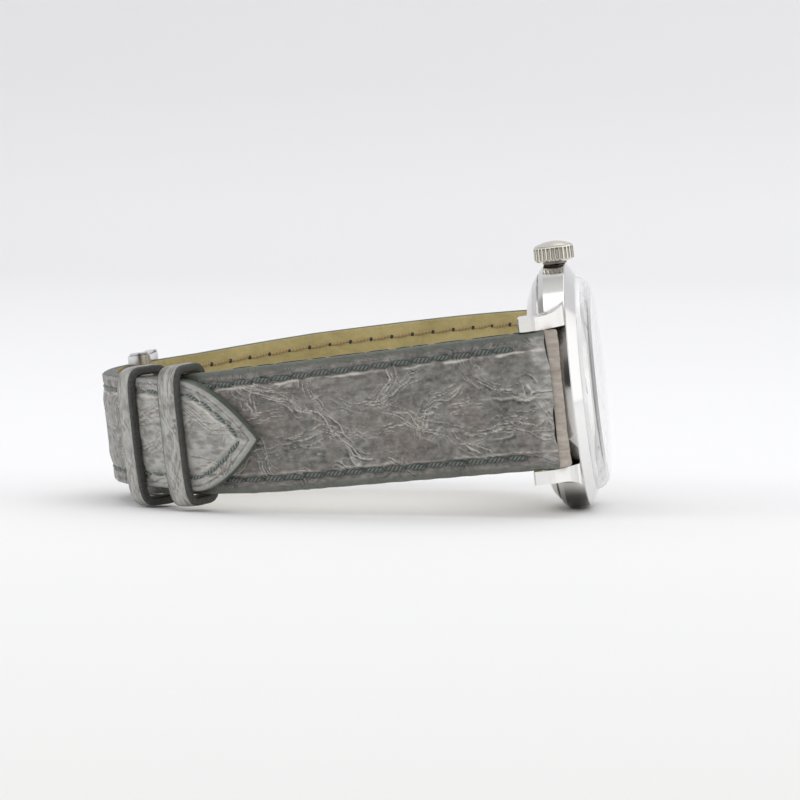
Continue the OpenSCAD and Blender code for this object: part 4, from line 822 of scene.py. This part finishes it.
def bar_roll(name, centre, rx, ry, half, tongue_gap=0.0, seed=5):
    """Leather rolled round a strap bar, with an opening in the middle for a tongue."""
    spans, n = ([(-half, -tongue_gap), (tongue_gap, half)], 30) if tongue_gap else ([(-half, half)], 90)
    verts, faces, around = [], [], 48
    for z0, z1 in spans:
        A, Z = np.meshgrid(np.linspace(0, 2 * np.pi, around, endpoint=False), np.linspace(z0, z1, n))
        end = np.minimum(Z - z0, z1 - Z)
        crack = np.clip((fbm(Z / 0.42, A * 0.7 + 3, seed + 2, 3) - 0.55) * 6, 0, 1)
        waist = 0 if tongue_gap else 0.10 * (1 - (Z / half) ** 2)
        grow = 1 - 0.12 * np.exp(-(end / 0.2) ** 2) - waist \
            + 0.12 * (fbm(Z / 2.4, A * 0.8 + 9, seed) - 0.5) - 0.03 * crack
        first = sum(len(v) for v in verts)
        for x_r, y_r in ((rx * grow, ry * grow), (BAR_BORE, BAR_BORE)):
            ring = [centre[0] + x_r * np.cos(A), centre[1] + y_r * np.sin(A), Z]
            verts.append(np.stack(ring, -1).reshape(-1, 3))
        faces += grid_faces(n, around, first, wrap=True, flip=True).tolist()
        faces += grid_faces(n, around, first + n * around, wrap=True).tolist()
        for row in (0, n - 1):
            for k in range(around):
                k2 = (k + 1) % around
                f = [first + row * around + k, first + row * around + k2,
                     first + (n + row) * around + k2, first + (n + row) * around + k]
                faces.append(f if row else f[::-1])
    make(name, np.concatenate(verts), faces, [mats["roll"]], "case")


near_lining = band_mesh(
    "strap_near_lining", np.arange(1.4, SHORT_END - 1.9, 0.5), lambda s: half_width(s) - 0.06,
    flat_at(-UPPER_T), flat_at(-STRAP_T), "case", LINING, cols=60, edge_r=0.1)
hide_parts("strap_short_lining")


def seam(name, half, depth, s0, s1):
    """Broken dark line on both edges, where the leather meets its lining."""
    verts, faces, n, around = [], [], 8, 6
    thickness = 0.13 * np.sin(np.linspace(0.25, np.pi - 0.25, n)) ** 0.5
    for side in (-1, 1):
        begin = s0
        while begin < s1 - 1:
            end = min(begin + 1.2 + 4.5 * rng.random(), s1)
            s = np.linspace(begin, end, n)
            p = on_loop(s, side * (half(s) + 0.04), np.full(n, depth) + 0.05 * (rng.random(n) - 0.5))
            ring, _ = tube_path(p, np.array([0, 0, 1.0]), thickness, around)
            first = len(verts) * n * around
            verts.append(ring.reshape(-1, 3))
            faces += grid_faces(n, around, first, wrap=True).tolist()
            begin = end + 0.3 + 0.8 * rng.random()
    make(name, np.concatenate(verts), faces, [mats["hole"]], "case")


seam("strap_near_seam", half_width, -UPPER_T, 3, NEAR_SEAM_END)
bar_roll("strap_near_roll", (-BAR_DEPTH, -BAR_Y), ROLL_X, ROLL_Y, HALF_LUG - 0.05)
bar_roll("strap_buckle_roll", BUCKLE_BAR_AT, BUCKLE_ROLL_R, BUCKLE_ROLL_R, HALF_END - 0.1, 1.4)

# Strap: long piece at 6 o'clock, over the short one from its tip to the buckle
OUT_0, OUT_1, OUT_2 = LAYER_GAP, LAYER_GAP + LINING_T, LAYER_GAP + STRAP_T


def from_edge(s, z):
    """Distance to the nearest edge of the long piece, whose edges run in to its point."""
    h = long_half(s)
    slope = np.clip(np.gradient(h[:, 0], s[:, 0]), 0, 6)[:, None]
    return (h - np.abs(z)) / np.sqrt(1 + slope ** 2)


def long_face(s, z):
    """Outer face of the long piece: padded, grooved under the stitches, with a raised border at the tip."""
    dist = from_edge(s, z)
    inside = np.clip((dist - STITCH_IN - 0.2) / 2.0, 0, 1)
    rise = 0.3 * inside * inside * (3 - 2 * inside)
    groove = 0.2 * np.exp(-((dist - STITCH_IN) / 0.4) ** 2)
    border = 0.14 * np.exp(-((dist - 0.95) / 0.5) ** 2) - 0.1 * np.exp(-((dist - 1.5) / 0.16) ** 2)
    return OUT_2 + rise - groove + border * np.clip((70 - s) / 6, 0, 1)


def tip_tone(s, z):
    """Paler towards the tip and along its edge, with a darker line inside the edge. The paler tip is partly
    the leather's own lighter colour and partly painted light, for the brighter light on that end of the
    loop. The pale edge line is partly rubbed wear and partly a painted highlight.
    """
    dist = from_edge(s, z)
    border = 0.35 * line(dist, 0.25, 0.25) - 0.4 * line(dist, 0.85, 0.14)
    return np.interp(s, [60, 72], [0.46, 0.10]) + border


COARSE_S = 75
u_tip = TIP_LEN * np.linspace(0.0, 1, 96) ** 1.5
s_long = np.concatenate([TIP_S + 0.012 + u_tip * 0.999, np.arange(TIP_S + TIP_LEN + 0.16, COARSE_S, 0.16),
                         np.arange(COARSE_S, LOOP_END + 0.4, 0.24), [LOOP_END + 0.5]])
far_fold = ripples(63, 61.5, 90, 0.24)
long_piece = band_mesh(
    "strap_long_leather", s_long, long_half, long_face, lambda s, z: OUT_2 - over_roll(LOOP_END - s),
    "case", STRAP, seed=31, holes=True, cols=112, shift=drift, fold=far_fold, edge_r=0.36,
    lift=tip_tone, lip=from_edge)
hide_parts("strap_long")
s_in = np.concatenate([TIP_S + 0.06 + u_tip[::2], np.arange(TIP_S + TIP_LEN + 0.3, LOOP_END - 1.4, 0.22)])
long_lining = band_mesh(
    "strap_long_lining_face", s_in, lambda s: np.maximum(long_half(s) - 0.06, 0.01),
    flat_at(OUT_1), flat_at(OUT_0), "case", LINING, holes=True, cols=90, back=90, edge_r=0.1, shift=drift)
bar_roll("strap_far_roll", (-BAR_DEPTH, BAR_Y), ROLL_X, ROLL_Y, HALF_LUG - 0.05, seed=8)
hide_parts("strap_long_lining")

HOLE_SIDES = 32
a = np.linspace(0, 2 * np.pi, HOLE_SIDES, endpoint=False)
wall_v, wall_f = [], []
for hs in HOLE_S:
    first = len(wall_v) * HOLE_SIDES
    for d in (OUT_0 - 0.02, OUT_2 + 0.26):
        wall_v.append(on_loop(hs + HOLE_R * np.cos(a), HOLE_R * np.sin(a), np.full(HOLE_SIDES, d)))
    wall_f += grid_faces(2, HOLE_SIDES, first, wrap=True).tolist()
make("strap_hole_walls", np.concatenate(wall_v), wall_f, [mats["edge"]], "case")

# Stitching
under = (mats["lining_thread"], "lining_leather", LINING_PITCH, LINING_STITCH_R, -1, mats["hole"])
stitch_end = SHORT_END - 5
stitches("near_stitching", [straight_row(4.4, stitch_end, 1, 0.0), straight_row(3.9, stitch_end, -1, 0.0)],
         mats["thread"], "grey_leather")
rows = [straight_row(5.0, stitch_end, side, -STRAP_T) for side in (-1, 1)]
stitches("near_lining_stitching", rows, *under)


def tip_row(d, side):
    """Stitch line from the point of the tip along one side to the 6 o'clock lug."""
    s = TIP_S + TIP_LEN * np.linspace(0, 1, 90)
    z = long_half(s)
    ds, dz = np.gradient(s), np.gradient(z)
    length = np.hypot(ds, dz)
    s2, z2 = s + STITCH_IN * dz / length, z - STITCH_IN * ds / length
    off_middle = z2 > 0.12
    s2, z2 = s2[off_middle], z2[off_middle]
    s3 = np.arange(s2[-1] + 0.8, LOOP_END - 4.2, 0.8)
    s4 = np.concatenate([s2, s3])
    z4 = np.concatenate([z2, long_half(s3) - STITCH_IN])
    fold = far_fold(s4[:, None], z4[:, None])[:, 0]
    return np.stack([s4, side * z4 + drift(s4), d + fold], 1)


stitches("long_stitching", [tip_row(OUT_2 - TIP_SUNK, side) for side in (-1, 1)],
         mats["pale_thread"], "grey_leather", TIP_PITCH, TIP_STITCH_R, rise=0.4)
rows = [straight_row(TIP_S + TIP_LEN + 1, LOOP_END - 4.5, side, OUT_0, long_half, drift)
        for side in (-1, 1)]
stitches("long_lining_stitching", rows, *under)

# Keepers: leather bands round both layers
# KEEPER_TONE lightens the keepers' leather: partly their own lighter colour, partly painted light for the
# brighter light on that end of the loop
KEEPER_SQUARE, KEEPER_EDGE_R, KEEPER_CROWN, KEEPER_TONE = 5.5, 0.38, 0.07, 0.42
KEEPER_STATIONS, FACE_POINTS, CORNER_POINTS = 132, 26, 4


def keeper(node, seed):
    """One keeper: a squared oval round the strap, with the section of a leather band with round edges."""
    low, high = BEND_R - STRAP_T - KEEPER_SLACK, BEND_R + STRAP_T + LAYER_GAP + KEEPER_PLAY
    mid = (low + high) / 2
    half_r = (high - low + KEEPER_T) / 2
    half_z = HALF_END + KEEPER_PLAY + KEEPER_T / 2
    n, power = KEEPER_STATIONS, 2 / KEEPER_SQUARE
    a = np.linspace(np.pi, 3 * np.pi, n, endpoint=False)
    pr = np.sign(np.cos(a)) * np.abs(np.cos(a)) ** power * half_r
    pz = np.sign(np.sin(a)) * np.abs(np.sin(a)) ** power * half_z
    run = np.concatenate([[0], np.cumsum(np.hypot(np.diff(pr, append=pr[0]), np.diff(pz, append=pz[0])))])
    even = np.linspace(0, run[-1], n, endpoint=False)
    pr, pz = (np.interp(even, run, np.append(q, q[0])) for q in (pr, pz))
    tr, tz = (np.roll(q, -1) - np.roll(q, 1) for q in (pr, pz))
    length = np.hypot(tr, tz)
    nr, nz = tz / length, -tr / length
    # Section ring: across the width on the outer face, round the edge, back inside
    w, t, e = KEEPER_W / 2, KEEPER_T / 2, KEEPER_EDGE_R
    arc = np.linspace(0, np.pi / 2, CORNER_POINTS + 2)[1:-1]
    outer = [(q, t + KEEPER_CROWN * (1 - (q / w) ** 2)) for q in np.linspace(-w + e, w - e, FACE_POINTS)]
    side = [(w - e + e * math.sin(b), t - e + e * math.cos(b)) for b in arc] \
        + [(w, t - e), (w, 0), (w, -t + e)] \
        + [(w - e + e * math.cos(b), -t + e - e * math.sin(b)) for b in arc]
    inner = [(q, -t) for q in np.linspace(w - e, -w + e, 8)]
    sec = np.array(outer + side + inner + [(-q, -v) for q, v in side])
    ring, edge_n = len(sec), len(side)
    U = np.repeat(even[:, None], ring, 1)
    W = np.repeat(sec[None, :, 0], n, 0)
    dh, crease, tone = skin(U, W, seed)
    on_top = np.clip((sec[None, :, 1] - (t - 0.15)) / 0.15, 0, 1)
    off = sec[None, :, 1] + dh * on_top * 0.8 + 0.10 * (fbm(U / 6, U * 0 + seed, seed + 9) - 0.5)
    away = mid + pr[:, None] + nr[:, None] * off
    across = pz[:, None] + nz[:, None] * off
    angle = math.radians(270 - KEEPER_ANGLES[node]) - W / BEND_R
    verts = np.stack([BEND_AT[0] + away * np.cos(angle), BEND_AT[1] + away * np.sin(angle), across], -1)
    i, k = np.meshgrid(np.arange(n), np.arange(ring), indexing="ij")
    i2, k2 = (i + 1) % n, (k + 1) % ring
    faces = np.stack([i * ring + k, i2 * ring + k, i2 * ring + k2, i * ring + k2], -1).reshape(-1, 4)
    kk = k.ravel()
    pick = ((kk >= FACE_POINTS) & (kk < FACE_POINTS + edge_n - 1)) | (kk >= ring - edge_n)
    uv = np.stack([U.ravel(), W.ravel()], 1) * MM
    worn_rim = np.exp(-((w - np.abs(sec[:, 0])) / 0.5) ** 2) * 0.7
    ob = make("keeper_" + node.split("_")[0], verts.reshape(-1, 3), faces,
              [mats["leather"], mats["keeper_edge"]],
              "free_keeper" if node == "free_keeper" else "case", pick, uv,
              {"crease": crease.ravel() * 0.6, "tone": np.clip(tone + KEEPER_TONE, 0, 1).ravel(),
               "rim": np.tile(worn_rim, n)})
    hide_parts(node)


keeper("fixed_keeper", 51)
keeper("free_keeper", 57)

# Finishes of the CAD nodes that stay
FINISH = {
    "polished": "bezel", "band": "mid_case case_back", "bright": "rehaut",
    "buckle": "buckle_frame buckle_tongue",
    "crown": "crown", "dark": "crown_tube", "warm": "lug_spring_bars buckle_spring_bar",
    "crystal": "crystal", "gasket": "crystal_gasket", "rubber": "case_back_gasket crown_gasket",
    "dial": "dial", "marker": "hour_markers", "hand": "hour_hand minute_hand seconds_hand",
    "plate": "main_plate", "ruby": "jewels",
    "plating": "barrel_bridge train_bridge balance_cock pallet_cock",
    "brass": "barrel center_wheel third_wheel fourth_wheel minute_wheel hour_wheel balance",
    "blued": "bridge_screws click_screw ratchet_screw setting_lever_screw hairspring",
}
finish_of = {n: k for k, names in FINISH.items() for n in names.split()}
for name, ob in nodes.items():
    if ob.hide_render:
        continue
    mat = mats[finish_of.get(name, "satin")]
    ob.data.materials.clear()
    ob.data.materials.append(mat)
    for s in ob.material_slots:
        s.material = mat

# Floor, backdrop and light
def paper():
    """Matt white paper: whitest behind the watch, darker up the backdrop and in front by painted shade, for
    the light falling off there.
    """
    n = Nodes("studio_paper")
    pos = n.add("ShaderNodeSeparateXYZ")
    n.link(n.at("Object"), pos.inputs[0])
    # Painted light falloff: darker with height up the backdrop (up) and towards the front of the floor
    # (near)
    up = n.ramp(n.math("MULTIPLY", pos.outputs[2], 1.6), (0.0, (0.915, 0.915, 0.92)),
                (0.06, (0.905, 0.905, 0.915)), (0.20, (0.84, 0.84, 0.855)), (1.0, (0.76, 0.76, 0.775)))
    near = n.ramp(n.math("ADD", n.math("MULTIPLY", pos.outputs[1], 2.0), 0.62), (0.0, 1.0), (0.75, 0.0))
    base = n.mix(near, up, (0.80, 0.80, 0.785))
    grain = n.noise(n.at("Object"), 60, 3)
    return n.finish(n.mix(n.math("MULTIPLY", grain, 0.02), base, (0.8, 0.8, 0.8)), 0.9)


FLOOR_GAP = 0.00005
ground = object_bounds()[0][2] - FLOOR_GAP
back, bend, top, wide = 1.6, 1.4, 4.0, 3.5
turns = np.linspace(0, math.pi / 2, 40)
profile = [(-3.0, 0.0), (-1.0, 0.0), (0.6, 0.0)] \
    + [(back + bend * math.sin(t), bend * (1 - math.cos(t))) for t in turns] + [(back + bend, top)]
sweep_v = [(x, y, z + ground) for y, z in profile for x in (-wide, wide)]
sweep_f = [[2 * i, 2 * i + 1, 2 * i + 3, 2 * i + 2] for i in range(len(profile) - 1)]
sw = bpy.data.meshes.new("studio_sweep")
sw.from_pydata(sweep_v, [], sweep_f)
sw.materials.append(paper())
sw.polygons.foreach_set("use_smooth", [True] * len(sw.polygons))
sweep = bpy.data.objects.new("studio_sweep", sw)
bpy.context.scene.collection.objects.link(sweep)


def area(name, at, toward, size, energy):
    """A soft white lamp, in metres and watts."""
    d = bpy.data.lights.new(name, "AREA")
    d.shape, d.size, d.size_y = "RECTANGLE", size[0], size[1]
    d.energy = energy
    o = bpy.data.objects.new(name, d)
    o.location = at
    o.rotation_euler = (Vector(toward) - Vector(at)).to_track_quat("-Z", "Y").to_euler()
    bpy.context.scene.collection.objects.link(o)


area("softbox_top", (0.05, -0.15, 0.9), (0, 0, 0), (0.9, 0.7), 1.5)
area("softbox_left", (-0.9, -0.5, 0.45), (0, 0, 0.02), (0.6, 0.6), 1.6)
area("softbox_back", (0.7, 1.25, 1.2), (0.5, 1.5, 0), (1.6, 1.0), 3.2)
area("softbox_right", (0.9, -0.5, 0.45), (0, 0, 0.02), (0.5, 0.6), 0.6)

world = bpy.data.worlds.new("studio")
bpy.context.scene.world = world
world.use_nodes = True
air = Nodes(tree=world.node_tree)
path = air.add("ShaderNodeLightPath").outputs


def by_angle(direction, *stops):
    """Brightness by the angle between a ray and a fixed direction."""
    d = air.add("ShaderNodeVectorMath", operation="DOT_PRODUCT")
    air.link(air.coord.outputs["Generated"], d.inputs[0])
    d.inputs[1].default_value = Vector(direction).normalized()
    return air.ramp(air.span(d.outputs["Value"], 0.5, 1.0), *stops)


# What metal mirrors: a bright tent, with the dark round the camera and a greyer side behind the buckle
toward_camera = np.array(cam.matrix_world.col[2][:3])
front = by_angle(toward_camera, (0.0, 1.0), (0.83, 1.0), (0.925, 0.57), (0.965, 0.12), (1.0, 0.05))
side = by_angle((-1.0, 0.25, 0.1), (0.0, 1.15), (0.3, 1.08), (0.45, 1.0), (0.75, 1.0), (0.9, 0.75),
                (1.0, 0.55))
above = by_angle((-0.25, 0.1, 1.0), (0.0, 1.0), (0.60, 1.0), (0.74, 0.62), (0.9, 0.42), (1.0, 0.75))
mirror = air.mix(1.0, air.mix(1.0, front, side, "MULTIPLY"), above, "MULTIPLY")
flat, seen, through_glass = (0.90, 0.90, 0.91), (0.86, 0.86, 0.87), (1.28, 1.28, 1.28)
glow = air.mix(path["Is Glossy Ray"], flat, mirror)
glow = air.mix(path["Is Camera Ray"], glow, seen)
glow = air.mix(path["Is Transmission Ray"], glow, through_glass)
sky = world.node_tree.nodes["Background"].inputs
air.link(glow, sky["Color"])
sky["Strength"].default_value = 1.0
